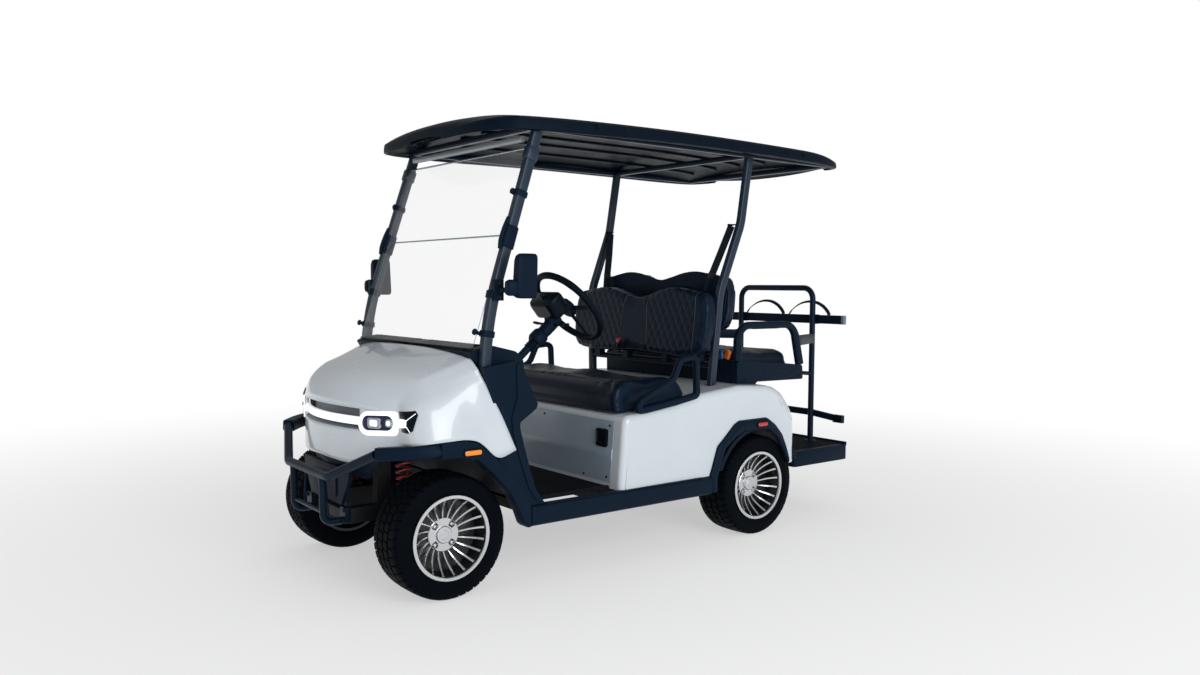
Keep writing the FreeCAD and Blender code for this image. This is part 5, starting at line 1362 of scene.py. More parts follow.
def mirrorShapes():
    low, high = np.array([.605, -.837, 1.140]), np.array([.649, -.749, 1.312])
    centre = (low + high) / 2
    face = roundBox(high[0] - low[0], high[2] - low[2], .018, 5)
    face[:, 0] -= np.clip(-face[:, 1] - .02, 0, 1) * .06
    face[:, 0] += np.where(face[:, 0] < 0, np.clip(face[:, 1] + .03, 0, 1) * .11, 0)
    depth = [(0, .60), (.004, .86), (.014, .97), (.034, 1.0), (.072, 1.0), (.086, .985), (.088, .965),
             (.084, .93)]
    skin = np.stack([xyz(centre[0] + face[:, 0] * np.sqrt(k), np.full(len(face), low[1] + d),
                         centre[2] + face[:, 1] * (.5 + .5 * k)) for d, k in depth])
    shapes = [(*grid(skin, wrapV=True), 0), lid(skin[0], 0, back=True)]
    shapes.append(lid(skin[-1], 1))
    lobe = roundBox(.038, .062, .014, 4)
    rows = [xyz(.622 + lobe[:, 0] * q, np.full(len(lobe), -.875 + d), 1.181 + lobe[:, 1] * q)
            for d, q in ((0, .55), (.004, .85), (.014, 1), (.060, 1))]
    shapes += [(*grid(np.stack(rows), wrapV=True), 0), lid(rows[0], 0, back=True)]
    arm = smoothPath([(.546, -.867, 1.170), (.575, -.864, 1.171), (.610, -.853, 1.174)], 9)
    shapes.append(bar((.020, .020, .006, 3), arm, side=(0, 0, 1)))
    shapes.append(block((.5395, -.888, 1.131), (.561, -.846, 1.213)))
    for z in (1.146, 1.198):
        bolt = hexBolt(.006, .004)
        shapes.append((*moved(bolt, .5605, -.867, z), 2))
    return shapes


piece("doorMirrors", bothSides(mirrorShapes()), [blackMoulding, silverGlass, darkSteel],
      replaces=["mirrors"], bevel=.0012)
print("cab fittings ready")

# upholstery: cloth pressure puffs a slightly smaller form, then seams and channels are pressed in
padding = {"voxel": .0095, "pressure": 4.0, "frames": 20}


def readPoints(mesh):
    flat = np.zeros(len(mesh.vertices) * 3, np.float32)
    mesh.vertices.foreach_get("co", flat)
    return flat.reshape(-1, 3).astype(float)


def puffed(shape, cap, hold):
    mesh = bpy.data.meshes.new("form")
    mesh.from_pydata(shape[0], [], sum((batch.tolist() for batch in shape[1]), []))
    thing = bpy.data.objects.new("form", mesh)
    scene = bpy.context.scene
    scene.collection.objects.link(thing)
    remesh = thing.modifiers.new("even", "REMESH")
    remesh.mode, remesh.voxel_size = "VOXEL", padding["voxel"]
    round = thing.modifiers.new("round", "SMOOTH")
    round.factor, round.iterations = .5, 8
    applyModifiers(thing)
    start = readPoints(thing.data)
    cloth = thing.modifiers.new("air", "CLOTH")
    cloth.settings.use_pressure = True
    cloth.settings.uniform_pressure_force = padding["pressure"]
    cloth.settings.effector_weights.gravity = 0
    cloth.point_cache.frame_start, cloth.point_cache.frame_end = 1, padding["frames"]
    for step in range(1, padding["frames"] + 1):
        scene.frame_set(step)
    graph = bpy.context.evaluated_depsgraph_get()
    swollen = bpy.data.meshes.new_from_object(thing.evaluated_get(graph), depsgraph=graph)
    move = readPoints(swollen) - start
    bpy.data.meshes.remove(swollen)
    thing.modifiers.clear()
    reach = np.linalg.norm(move, axis=1, keepdims=True)
    move *= np.minimum(1, cap / np.maximum(reach, 1e-9)) * hold(start)[:, None]
    thing.data.vertices.foreach_set("co", (start + move).astype(np.float32).ravel())
    thing.data.update()
    scene.frame_set(1)
    smooth = thing.modifiers.new("finer", "SUBSURF")
    smooth.levels = smooth.render_levels = 1
    applyModifiers(thing)
    points = readPoints(thing.data)
    normals = np.zeros(len(points) * 3, np.float32)
    thing.data.vertex_normals.foreach_get("vector", normals)
    quads = np.zeros(len(thing.data.polygons) * 4, np.int32)
    thing.data.polygons.foreach_get("vertices", quads)
    mesh = thing.data
    bpy.data.objects.remove(thing)
    bpy.data.meshes.remove(mesh)
    return points, quads.reshape(-1, 4), normals.reshape(-1, 3).astype(float)


def quiltedLeather(name, cell):
    # black leatherette: fine grain everywhere, sewn diamonds with stitches where "quilt" is 1
    material = finish(name, "#06111E", "#0A1828", rough=.33, roughVary=.05, grainMm=1.1, grainDepth=.3,
                      **paintedBlueSheen(.25))
    tree = material.node_tree
    shader = tree.nodes["Principled BSDF"]
    split = addNode(tree, "SeparateXYZ", {0: addNode(tree, "UVMap", uv_map="pattern").outputs[0]})
    mask = addNode(tree, "Attribute", attribute_name="quilt").outputs["Fac"]

    def math2(operation, a, b=0.0):
        return addNode(tree, "Math", {0: a, 1: b}, operation=operation).outputs[0]
    x = math2("DIVIDE", split.outputs["X"], cell[0])
    y = math2("DIVIDE", split.outputs["Y"], cell[1])
    first = math2("ABSOLUTE", math2("SINE", math2("MULTIPLY", math2("ADD", x, y), math.pi)))
    other = math2("ABSOLUTE", math2("SINE", math2("MULTIPLY", math2("SUBTRACT", x, y), math.pi)))
    pillow = math2("POWER", math2("MULTIPLY", first, other), .45)
    pillow = math2("MULTIPLY", pillow, mask)
    edge = math2("MINIMUM", first, other)
    line = math2("LESS_THAN", edge, .05)
    dash = math2("LESS_THAN", math2("FRACT", math2("MULTIPLY", y, 16.0)), .55)
    stitch = math2("MULTIPLY", math2("MULTIPLY", line, dash), mask)
    tinted = addNode(tree, "Mix", data_type="RGBA")
    tree.links.new(stitch, tinted.inputs[0])
    tree.links.new(tree.nodes["Mix"].outputs[2], tinted.inputs[6])
    tinted.inputs[7].default_value = linear("#1A2632")
    tree.links.new(tinted.outputs[2], shader.inputs["Base Color"])
    quilting = addNode(tree, "Bump", {"Height": pillow, "Strength": .7, "Distance": .0026})
    tree.links.new(tree.nodes["Bump"].outputs["Normal"], quilting.inputs["Normal"])
    tree.links.new(quilting.outputs["Normal"], shader.inputs["Normal"])
    return material


seatLeather = quiltedLeather("quiltedLeatherette", (.046, .074))
pipingVinyl = finish("sewnPipingVinyl", "#141E28", "#1B2733", rough=.4, roughVary=.04, grainMm=1,
                     grainDepth=.25)


def fade(value, low, high):
    t = np.clip((value - low) / (high - low), 0, 1)
    return t * t * (3 - 2 * t)


def seam(distance, width, depth):
    # how far the sewn line pulls the cover in, at this distance from it
    return depth * np.exp(-(distance / width) ** 2)


def layOn(points, quads, path, direction, lift):
    # path dropped along direction on to the padded surface
    tree = BVHTree.FromPolygons(points.tolist(), quads.tolist())
    out = []
    for p in np.asarray(path, float):
        hit = tree.ray_cast(Vector(p.tolist()), Vector(direction))
        if hit[0] is not None:
            out.append(np.array(hit[0]) + np.array(hit[1]) * lift)
    return np.array(out)


def sewnCord(points, quads, path, direction, side=(1, 0, 0)):
    # thin piping sewn along a line of the cover
    return sweep(circle(.0017, 6), layOn(points, quads, path, direction, .0002), side=side)


def padPiece(name, points, quads, quilt, uv, extras, materials, body, replaces):
    shapes = [(points, [quads], 0)] + extras
    total = sum(len(s[0]) for s in shapes)
    pattern = np.zeros((total, 2))
    pattern[:len(points)] = uv
    thing = piece(name, shapes, materials, body=body, replaces=replaces, angle=80,
                  uv=pattern)
    mask = np.zeros(total, np.float32)
    mask[:len(points)] = quilt
    thing.data.attributes.new("quilt", "FLOAT", "POINT").data.foreach_set("value", mask)
    return thing


def backForm(half, y0, y1, low, shoulder, lobe, valley, inset):
    # twin-lobed outline in the part's width and height, extruded with rounded rims
    right = [(0, low + .006), (.30 * half, low + .002), (.72 * half, low), (.92 * half, low + .028),
             (.985 * half, low + .10), (half, low + .18), (.985 * half, shoulder - .02),
             (.93 * half, shoulder + .032), (.80 * half, lobe - .018), (.56 * half, lobe),
             (.36 * half, lobe - .006), (.16 * half, valley + .014), (0, valley + .001)]
    right = np.array(right)
    loop = np.vstack([right, (right * [-1, 1])[-2:0:-1]])
    loop = smoothPath(loop, 130, closed=True)
    middle = np.array([0, (low + lobe) / 2])
    rows = []
    for d, y in ((.030, 0), (.010, .006), (.0, .022), (.0, .5), (.0, .978), (.012, .994), (.034, 1)):
        size = np.maximum(np.abs(loop - middle), .001)
        shrunk = middle + (loop - middle) * (1 - (inset + d) / np.linalg.norm(size, axis=1, keepdims=True))
        depth = y0 + inset + (y1 - y0 - 2 * inset) * y
        rows.append(xyz(shrunk[:, 0], np.full(len(loop), depth), shrunk[:, 1]))
    return capped(np.stack(rows), back=True)


def makeBack(name, node, half, y0, y1, low, shoulder, lobe, valley, lean, front):
    # front is -1 where the padded face looks to the nose, +1 where it looks rearward
    shellSide = y1 if front < 0 else y0
    form = backForm(half, y0, y1, low, shoulder, lobe, valley, .009)

    def panelEdge(share):
        return .115 - .035 * share

    def outerSeam(share):
        return half * (.80 + .02 * np.sin(share * math.pi))

    def hold(p):
        # the hard shell behind keeps its face flat
        away = (shellSide - p[:, 1]) * -front
        return fade(away, .004, .022)
    points, quads, normals = puffed(form, .016, hold)
    face = fade(-normals[:, 1] if front < 0 else normals[:, 1], .35, .75)
    x, z = points[:, 0], points[:, 2]
    share = (z - low) / (lobe - low)
    centre, side = panelEdge(share), outerSeam(share)
    # each seat half swells a little; the middle panel and the seams sit lower
    swell = .006 * fade(1 - np.abs(np.abs(x) - half * .48) / (half * .48), 0, 1) * fade(share, -.1, .5)
    press = seam(np.abs(x) - centre, .006, .0035) + seam(np.abs(x) - side, .006, .0040)
    points = points + normals * (face * (swell - press))[:, None]
    points[:, 1] = np.clip(points[:, 1], y0 + .0005, y1 - .0005)
    quilt = face * fade(np.abs(x), centre + .003, centre + .009)
    quilt *= 1 - fade(np.abs(x), side - .009, side - .003)
    extras = []
    for sx in (-1, 1):
        for limit, at in (((.02, .955), panelEdge), ((.10, .93), outerSeam)):
            s = np.linspace(*limit, 40)
            path = xz(sx * at(s), low + s * (lobe - low), np.full(40, y0 - .1 if front < 0 else y1 + .1))
            extras.append((*sewnCord(points, quads, path, (0, -front, 0)), 1))
    # moulded shell over the back, with fixing dimples
    inside = backForm(half * .94, 0, 1, low + .015, shoulder, lobe - .012, valley - .010, 0)[0]
    rim = inside.reshape(7, -1, 3)[3]
    inner = shellSide - (.006 if front < 0 else -.006)
    cover = np.stack([xyz(rim[:, 0] * q, np.full(len(rim), w), (rim[:, 2] - low - .15) * q + low + .15)
                      for q, w in ((1, inner), (1.0, shellSide + front * .003),
                                   (.985, shellSide + front * .0005), (.95, shellSide + front * .0002))])
    extras += [(*grid(cover, wrapV=True, flip=front > 0), 2), lid(cover[-1], 2, back=front > 0)]
    for sx in (-1, 1):
        for zz in (low + .09, lobe - .10):
            plug = turned([(0, .0), (0, .016), (.0015, .016), (.0020, .013), (.0006, .010), (.0006, 0)], 20,
                          axis=1, closed=False)
            if front > 0:
                plug = plug[0] * [1, -1, 1], [f[:, ::-1] for f in plug[1]]
            plug = plug[0] * [1, .5, 1], plug[1]
            extras.append((*moved(plug, sx * half * .46, shellSide + .001 * front, zz), 2))
    lifted = []
    for shape in extras:
        p = shape[0].copy()
        p[:, 1] += lean * (p[:, 2] - low)
        lifted.append((p, *shape[1:]))
    flatUv = points[:, [0, 2]].copy()
    flatUv[:, 0] = np.abs(flatUv[:, 0]) - .115
    points[:, 1] += lean * (points[:, 2] - low)
    return padPiece(name, points, quads, quilt, flatUv, lifted, [seatLeather, pipingVinyl, blackMoulding],
                    "chassis", [node])


frontBack = {"half": .533, "y0": .264, "y1": .338, "low": .842, "shoulder": 1.130, "lobe": 1.204,
             "valley": 1.160, "lean": .10, "front": -1}
rearBack = {"half": .500, "y0": .444, "y1": .524, "low": .952, "shoulder": 1.200, "lobe": 1.278,
            "valley": 1.234, "lean": .06, "front": 1}
makeBack("frontBackrest", "front_seat_back", **frontBack)
makeBack("rearBackrest", "rear_seat_back", **rearBack)
print("backrests ready")


def cushionForm(outline, half, inset):
    # side outline carried across the width, drawn in towards both ends
    loop = softened(outline, .024, 5)
    loop = resample(np.vstack([loop, loop[:1]]), 90)[:-1]
    middle = loop.mean(0)
    rows = []
    for x, d in ((-1, .026), (-.99, .008), (-.972, .0), (0, 0), (.972, .0), (.99, .008), (1, .026)):
        size = np.linalg.norm(loop - middle, axis=1, keepdims=True)
        shrunk = middle + (loop - middle) * (1 - np.minimum((inset + d) / size, .6))
        rows.append(xyz(np.full(len(loop), x * (half - inset)), shrunk[:, 0], shrunk[:, 1]))
    return capped(np.stack(rows), flip=True)


frontSeatOutline = [(-.251, .6375), (-.118, .6435), (.039, .6635), (.147, .686), (.157, .703), (.161, .735),
                    (.125, .765), (.035, .777), (-.205, .774), (-.263, .753), (-.278, .703), (-.267, .653)]
rearSeatOutline = [(.545, .7845), (.955, .7712), (.961, .812), (.951, .850), (.925, .866), (.565, .880),
                   (.547, .862)]


def makeCushion(name, node, body, outline, half, rest, buckets, front):
    form = cushionForm(outline, half, .008)

    def hold(p):
        return fade(p[:, 2] - np.interp(p[:, 1], rest[:, 0], rest[:, 1]), .018, .045)
    points, quads, normals = puffed(form, .015, hold)
    outline = np.asarray(outline)
    y0, y1 = outline[:, 0].min(), outline[:, 0].max()
    top = fade(normals[:, 2], .45, .8)
    x, y = points[:, 0], points[:, 1]
    across = (y - y0) / (y1 - y0)
    if front < 0:
        across = 1 - across
    # across is 0 at the backrest and 1 at the knees
    lap = np.exp(-((np.abs(x) - buckets["x"]) / buckets["wide"]) ** 4) * np.exp(-((across - .48) / .34) ** 4)
    dip = buckets["depth"] * lap
    knee = seam(across - .84, .012, .0035) * fade(half - np.abs(x), .02, .06)
    edge = buckets["wide"] * .98
    sides = seam(np.abs(x) - buckets["x"] - edge, .006, .0035) * fade(.90 - across, 0, .05)
    inner = seam(np.abs(x) - buckets["x"] + edge, .006, .0035) * fade(.86 - across, 0, .05)
    points = points - [0, 0, 1] * (top * (dip + knee + sides + inner))[:, None]
    # sides pull in a little between the corners
    wall = 1 - np.abs(normals[:, 2])
    pull = .006 * np.cos(np.clip(x / half, -1, 1) * math.pi / 2) * wall
    points[:, 1] += np.where(normals[:, 1] > 0, -pull, pull) * (np.abs(normals[:, 1]) > .5)
    quilt = top * (1 - fade(np.abs(np.abs(x) - buckets["x"]), edge - .010, edge - .004))
    quilt *= 1 - fade(across, .81, .825)
    quilt *= fade(across, .06, .09)
    extras = []
    for sx in (-1, 1):
        for at in (buckets["x"] - edge, buckets["x"] + edge):
            yy = np.linspace(.06, .82, 44)
            yy = y1 - yy * (y1 - y0) if front < 0 else y0 + yy * (y1 - y0)
            path = xyz(np.full(44, sx * at), yy, np.full(44, 1.2))
            extras.append((*sewnCord(points, quads, path, (0, 0, -1)), 1))
    xx = np.linspace(-half + .05, half - .05, 90)
    yy = np.full(90, (1 - .84) * (y1 - y0) + y0 if front < 0 else .84 * (y1 - y0) + y0)
    extras.append((*sewnCord(points, quads, xyz(xx, yy, np.full(90, 1.2)), (0, 0, -1), side=(0, 1, 0)), 1))
    uv = points[:, :2].copy()
    uv[:, 0] = np.abs(uv[:, 0]) - buckets["x"]
    return padPiece(name, points, quads, quilt, uv, extras, [seatLeather, pipingVinyl], body, [node])


restFront = np.array([(-.30, .6375), (-.251, .6375), (-.118, .6435), (.039, .6635), (.147, .686), (.2, .70)])
restRear = np.array([(.5, .7845), (.545, .7845), (.955, .7712), (1.0, .771)])
makeCushion("frontCushion", "front_cushion", "front_cushion", frontSeatOutline, .536, restFront,
            {"x": .262, "wide": .175, "depth": .013}, -1)
makeCushion("rearCushion", "rear_cushion", "rear_cushion", rearSeatOutline, .452, restRear,
            {"x": .225, "wide": .15, "depth": .008}, 1)
print("cushions ready")

# rear bench tub: five walls with rounded edges, a pressed line on each cheek
tubOutline = [(.512, .7245), (.638, .7172), (.652, .7302), (.9925, .7262), (.9865, .7995), (.5105, .8375)]


def tubShapes():
    cheek = softened(tubOutline, [.006, .006, .006, .010, .016, .014], 5)
    shapes = [plate(cheek, (.4725, .4995), yz)]
    path = np.array([(.4998, .70, .768), (.4998, .90, .762), (.4998, .925, .772), (.4998, .950, .802)])
    path = roundedPath(path, [0, .02, .02, 0], 6)
    shapes.append(bar((.004, .0012, .0005, 2), path, 1, side=(0, 0, 1)))
    for y, z in ((.565, .745), (.965, .742)):
        screw = turned([(0, .0), (0, .008), (.0012, .0075), (.0016, .005), (.0016, 0)], 16, closed=False)
        shapes.append((*moved(screw, .4992, y, z), 1))
    shapes = bothSides(shapes)
    floorLine = [(.513, .7255), (.638, .7182), (.652, .7312), (.990, .7272), (.968, .7690), (.537, .7828)]
    shapes.append(plate(floorLine, (-.474, .474), yz))
    shapes.append(plate([(.5110, .730), (.5340, .730), (.5340, .8355), (.5112, .8365)], (-.474, .474), yz))
    shapes.append(plate([(.9700, .735), (.9915, .735), (.9860, .7990), (.9695, .7995)], (-.474, .474), yz))
    return shapes


piece("benchTub", tubShapes(), [blackMoulding, glossMoulding],
      replaces=["rear_seat_pan"], bevel=.0035)

# moulded arm loops beside the rear bench with the strut back to the hoop
armOutline = [(.525, .8385), (.5265, 1.006), (.927, 1.006), (.979, .8015)]


def armShapes():
    line = [(.486, y, z) for y, z in armOutline]
    path = roundedPath(line, [0, .075, .085, 0], 12)
    width = np.interp(np.arange(len(path)), [0, 6, len(path) - 7, len(path) - 1], [1.25, 1, 1, 1.3])
    shapes = [sweep(roundBox(.030, .0345, .009, 4), path, scale=np.stack([np.ones(len(path)), width], -1))]
    shapes.append(sweep(roundBox(.012, .0357, .003, 3), path))
    brace = [(.486, .952, .924), (.470, .990, .921), (.292, 1.318, .914), (.283, 1.333, .914)]
    tall = [1.05, .86, .86, .95]
    shapes.append(sweep(roundBox(.062, .0125, .005, 3), brace, side=(0, 0, 1),
                        scale=np.stack([tall, np.ones(4)], -1)))
    grip = roundedPath([(.486, .60, .9935), (.486, .63, .990), (.486, .80, .990), (.486, .83, .9935)], .01, 4)
    shapes.append(sweep(roundBox(.020, .006, .002, 3), grip))
    return shapes


piece("benchArms", bothSides(armShapes()), [blackMoulding],
      replaces=["rear_armrests"], angle=40)

# hip restraints: closed moulded loops, the lower bar lying along the body's edge
hipOutline = [(.181, .700), (.172, .876), (.078, .868), (.037, .781), (-.148, .702), (-.180, .654),
              (-.118, .6580), (.039, .6780)]


def hipShapes():
    loop = np.array([(.566, y, z) for y, z in hipOutline])
    start = (loop[0] + loop[-1]) / 2
    path = roundedPath(np.vstack([start, loop, start]),
                       [0, .022, .028, .030, .060, .080, .020, .08, .05, 0], 7)[:-1]
    path = resample(np.vstack([path, path[:1]]), 120)[:-1]
    lower = fade(path[:, 2] - np.interp(path[:, 1], [-.2, .2], [.66, .72]), .0, .03)
    tall = 1.12 - .12 * lower
    body = sweep(roundBox(.0300, .0262, .0085, 4), path, closed=True,
                 scale=np.stack([np.ones(len(path)), tall], -1))
    ridge = sweep(roundBox(.0105, .0285, .003, 3), path, closed=True,
                  scale=np.stack([np.ones(len(path)), tall], -1))
    return [body, ridge]


piece("hipLoops", bothSides(hipShapes()), [blackMoulding], replaces=["hip_restraints"],
      angle=40)

# grab hoop on the footplate with its flanges and stays
hoopY = 1.345
hoop = {"half": .266, "foot": .3455, "top": 1.189, "tube": .0158, "bend": .062, "stay": .0108,
        "boltCircle": .026}


def hoopShapes():
    path = [(hoop["half"], hoopY, hoop["foot"]), *levelRun(hoop["half"], -hoop["half"], hoopY, hoop["top"]),
            (-hoop["half"], hoopY, hoop["foot"])]
    shapes = [tube(path, hoop["tube"], bend=hoop["bend"], count=20, side=(0, 1, 0))]
    for side in (-1, 1):
        x = hoop["half"] * side
        shapes.append(tube([(x, .9935, .752), (x, hoopY, .718)], hoop["stay"], count=14))
        flange = turned([(0, 0), (0, .034), (.004, .034), (.006, .031), (.006, .0165), (.006, 0)], 28, axis=2,
                        closed=False)
        shapes.append(moved(flange, x, hoopY, .3450))
        for a in range(4):
            t = a * tau / 4 + .78
            bolt = hexBolt(.0055, .0045, axis=2)
            shapes.append(moved(bolt, x + hoop["boltCircle"] * np.cos(t),
                                hoopY + hoop["boltCircle"] * np.sin(t), .3508))
    return shapes


piece("grabHoop", hoopShapes(), [coatedSteel], replaces=["rear_hoop"])

# golf bag rack: upper bar with end caps, lower cradle bar bowed in the middle
rackY = 1.3613
capGrey = finish("endCapPolymer", "#5C6B72", "#66757C", rough=.5, roughVary=.05, grainMm=1.5, grainDepth=.2)


rack = {"half": .458, "bar": (.0235, .047, .003, 3), "top": 1.018, "cradle": (.0250, .036, .010, 4),
        "low": .483}


def rackShapes():
    top, low = rack["top"], rack["low"]
    shapes = [bar(rack["bar"], levelRun(-rack["half"], rack["half"], rackY + .012, top), side=(0, 1, 0))]
    shapes.append(bar((.0238, .009, .003, 3), levelRun(-.44, .44, rackY + .0122, top), 2, side=(0, 1, 0)))
    for side in (-1, 1):
        shapes.append(bar((.0240, .048, .004, 3), levelRun(side * .446, side * .4615, rackY + .012, top), 1,
                          side=(0, 1, 0)))
        shapes.append(bar((.0255, .042, .004, 3), levelRun(side * .404, side * .4615, rackY + .013, low), 2,
                          side=(0, 1, 0)))
        clip = roundBox(.040, .052, .004, 3) * [.65, 1]
        shapes.append((*sweep(clip, levelRun(side * .250, side * .282, rackY + .0115, top), side=(0, 1, 0)),
                       2))
    lower = [(x, rackY + .013, low + rise) for x, rise in ((-.43, 0), (-.24, .017), (.24, .017), (.43, 0))]
    shapes.append(bar(rack["cradle"], roundedPath(lower, [0, .2, .2, 0], 8), side=(0, 1, 0)))
    return shapes


piece("bagRack", rackShapes(), [blackMoulding, capGrey, glossMoulding],
      replaces=["bag_rack"])


def heightRings(outline, steps):
    # outline rows at heights, each drawn in by an inset
    middle = outline.mean(0)
    rows = []
    for inset, z in steps:
        away = outline - middle
        drawn = middle + away * (1 - inset / np.maximum(np.abs(away).max(0), .01))
        rows.append(np.c_[drawn, np.full(len(outline), z)])
    return np.stack(rows)


footplate = {"width": .916, "depth": .434, "midY": 1.206, "ribs": (-.22, 0, .22), "treadPitch": .019}


def footplateShapes():
    edge = roundBox(footplate["width"], footplate["depth"], .018, 5) + [0, footplate["midY"]]
    skirt = heightRings(edge, [(.012, .3400), (.012, .2665), (.009, .2635), (.003, .2635), (.0, .2665),
                               (.0, .341), (.0015, .3438), (.004, .3448)])
    shapes = [(*grid(skirt, wrapV=True), 0), lid(skirt[-1], 0), lid(skirt[0], 0, back=True)]
    for x in footplate["ribs"]:
        shapes.append(block((x - .002, 1.003, .300), (x + .002, 1.409, .3405)))
    for y in np.arange(1.018, 1.400, footplate["treadPitch"]):
        shapes.append(bar((.008, .004, .0015, 3), levelRun(-.425, .425, y, .3450), 1, side=(0, 1, 0)))
    shapes.append(bar((.0145, .022, .004, 3), levelRun(-.452, .452, 1.4165, .346), side=(0, 1, 0)))
    return shapes


piece("rearFootplate", footplateShapes(), [blackMoulding, rubberMat],
      replaces=["footplate"])

# woven webbing: lap belts at the rear struts and two loops on the bag bar
webbing = finish("wovenPolyesterWebbing", "#0C1116", "#141B22", rough=.6, roughVary=.05, grainMm=1.6,
                 grainDepth=.6, **paintedBlueSheen(.1))
redPolymer = finish("releaseButtonRed", "#B5121B", "#A00E17", rough=.35, grainMm=2, grainDepth=.05)
orangePolymer = finish("buckleOrange", "#C4611B", "#B05312", rough=.4, grainMm=2, grainDepth=.05)
bluePolymer = finish("buckleBlue", "#123A6B", "#0E2F58", rough=.4, grainMm=2, grainDepth=.05)


def ribbon(path, width, thick, side):
    return sweep(roundBox(width, thick, thick * .45, 3), path, side=side)


# a web loop over the bag bar, as (sideways, height) points
webLoop = [(-.140, 1.0425), (-.118, 1.068), (-.070, 1.098), (-.015, 1.113), (.045, 1.111), (.095, 1.091),
           (.128, 1.062), (.140, 1.0425)]
belt = {"width": .045, "thick": .0022, "lean": (0, 1, -.3)}


def strapShapes():
    shapes = []
    for side in (-1, 1):
        line = smoothPath([(.4587 * side, .499, 1.482), (.450 * side, .489, 1.446),
                           (.426 * side, .4625, 1.352), (.396 * side, .425, 1.226),
                           (.372 * side, .398, 1.110)], 30)
        shapes.append(ribbon(line, belt["width"], belt["thick"], belt["lean"]))
        loop = smoothPath([(.4587 * side, .499, 1.482), (.462 * side, .497, 1.488),
                           (.466 * side, .500, 1.482)], 8)
        shapes.append(ribbon(loop, belt["width"], .0024, belt["lean"]))
        plateLine = [(.4025 * side, .4340, 1.258), (.396 * side, .4270, 1.230)]
        shapes.append(bar((.047, .0055, .002, 3), plateLine, 1, side=(0, 1, -.3)))
    for x in (-.105, .218):
        arch = [(x + u, rackY + .012, z) for u, z in webLoop]
        shapes.append(ribbon(smoothPath(arch, 40), .0215, .0050, (0, .85, .53)))
    return shapes


piece("webbingStraps", strapShapes(), [webbing, darkSteel], replaces=["straps"],
      angle=40)


def buckleShapes():
    # latches on short stalks: one at the foot of the front backrest, two by the rear cushion
    shapes = []
    for (x, y, z), tilt, mark in (((-.072, .2475, .905), (.1, -.12, 1), 2),
                                  ((.440, .505, .866), (.3, .1, 1), 3),
                                  ((.405, .492, .862), (-.2, .1, 1), 4)):
        up = np.array(tilt) / np.linalg.norm(tilt)
        at = np.array([x, y, z])
        stalk = smoothPath([at - up * .055 + [0, .004, 0], at - up * .03, at - up * .004], 8)
        shapes.append(ribbon(stalk, .022, .003, (1, 0, 0)))
        body = sweep(roundBox(.036, .017, .006, 4),
                     [at - up * .022, at - up * .016, at + up * .014, at + up * .020], side=(1, 0, 0),
                     scale=[.8, 1, 1, .85])
        shapes.append((*body, 1 if mark == 2 else mark))
        press = sweep(roundBox(.024, .019, .004, 4), [at + up * .004, at + up * .019, at + up * .0225],
                      side=(1, 0, 0), scale=[1, 1, .8])
        shapes.append((*press, mark))
    return shapes


piece("beltBuckles", buckleShapes(), [webbing, glossMoulding, redPolymer, orangePolymer, bluePolymer],
      angle=40)
print("rear equipment ready")

# front suspension: links with eyes, hangers and coil springs over dampers
springRed = finish("springPaintRed", "#8E1A1C", "#7A1416", rough=.4, roughVary=.05, grainMm=2, grainDepth=.1)


spring = {"turns": 6.5, "radius": .0272, "wire": .0052, "span": (.435, .445), "cups": (.432, .884)}


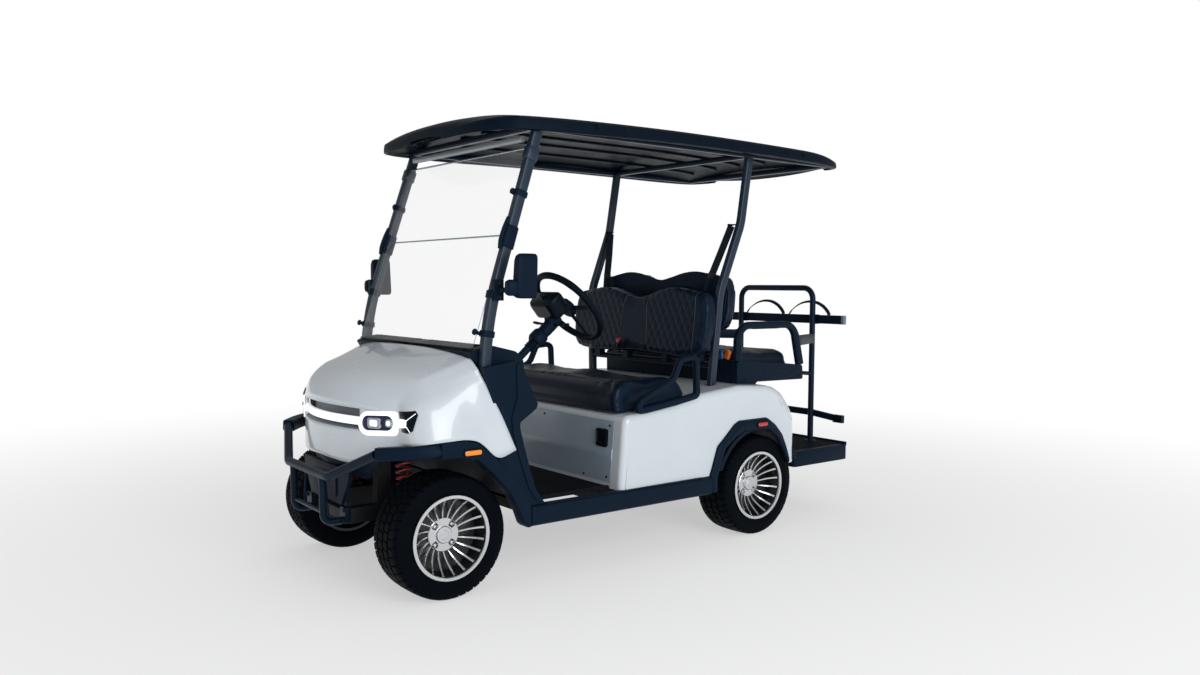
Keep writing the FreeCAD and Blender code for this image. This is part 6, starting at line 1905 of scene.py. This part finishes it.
def suspensionShapes():
    shapes = []
    railFace, pivot = .205, .345
    for level, reach, root in ((.175, .080, .1855), (.315, .022, .2055)):
        line = [(root, frontAxle - reach), (railFace + .03, frontAxle - reach), (pivot, frontAxle - .017),
                (pivot, frontAxle + .017), (railFace + .03, frontAxle + reach), (root, frontAxle + reach)]
        shapes.append(plate(line, (level - .0138, level + .0138), xyz))
        a = turned([(-.0140, .0095), (-.0140, .0185), (-.0125, .0198), (.0125, .0198), (.0140, .0185),
                    (.0140, .0095)], 28, axis=2)
        shapes.append(moved(a, pivot, frontAxle, level))
    shapes.append(block((.1855, frontAxle - .0795, .162), (.2045, frontAxle + .0795, .2615)))
    foot, head = np.array([.283, frontAxle - .046, .185]), np.array([.229, frontAxle - .046, .545])
    along = head - foot
    run = np.linspace(0, 1, 7)
    radii = [.0125, .0128, .0128, .0128, .0085, .0085, .0128]
    shapes.append((*sweep(circle(1, 18), foot + run[:, None] * along, side=(0, 1, 0), scale=radii), 1))
    unit = along / np.linalg.norm(along)
    across = np.array([0, 1, 0.])
    third = np.cross(unit, across)
    t = np.linspace(0, 1, 150)
    angle = t * spring["turns"] * tau
    start, rise = spring["span"]
    around = np.cos(angle)[:, None] * across + np.sin(angle)[:, None] * third
    coil = foot + (start + rise * t)[:, None] * along + spring["radius"] * around
    shapes.append((*sweep(circle(spring["wire"], 10), coil, side=unit), 2))
    for share in spring["cups"]:
        cup = sweep(circle(1, 24), [foot + along * share, foot + along * (share + .006)], side=(0, 1, 0),
                    scale=[.0325, .0325])
        shapes.append((*cup, 1))
    return shapes


piece("frontSprings", bothSides(suspensionShapes()), [darkSteel, coatedSteel, springRed],
      replaces=["front_suspension"])

# carried-over nodes: their shape is right, they get their own finishes
castGrey = finish("castMotorHousing", "#14181B", "#1B2023", rough=.5, roughVary=.08, grainMm=2.5,
                  grainDepth=.5)
batteryCase = finish("batteryCasePolymer", "#101418", "#171C21", rough=.55, roughVary=.05, grainMm=1.8,
                     grainDepth=.35, Specular_IOR_Level=.3)
springSteel = finish("leafSpringSteel", "#0C0F12", "#14181C", rough=.5, roughVary=.1, grainMm=2,
                     grainDepth=.3, Specular_IOR_Level=.3)
zincPlate = finish("zincPlatedSteel", "#8A9094", "#7C8286", rough=.38, roughVary=.08, metal=1, grainMm=1.5,
                   grainDepth=.15)
kept = {"frame": darkSteel, "frame_crossbeams": darkSteel, "frame_uprights": darkSteel,
        "knuckle_left": castGrey, "knuckle_right": castGrey, "tie_rod": zincPlate, "rear_axle": darkSteel,
        "rear_springs": springSteel, "motor": castGrey, "battery": batteryCase, "wheel_liners": blackMoulding,
        "seat_back_frame": coatedSteel, "seat_hinges": coatedSteel, "pedals": rubberMat}
for name, material in kept.items():
    thing = nodes[name]
    for socket in thing.material_slots:
        socket.link = "OBJECT"
        socket.material = material
shown = [name for name, thing in nodes.items() if not thing.hide_render]
print("CAD nodes shown:", " ".join(sorted(shown)))
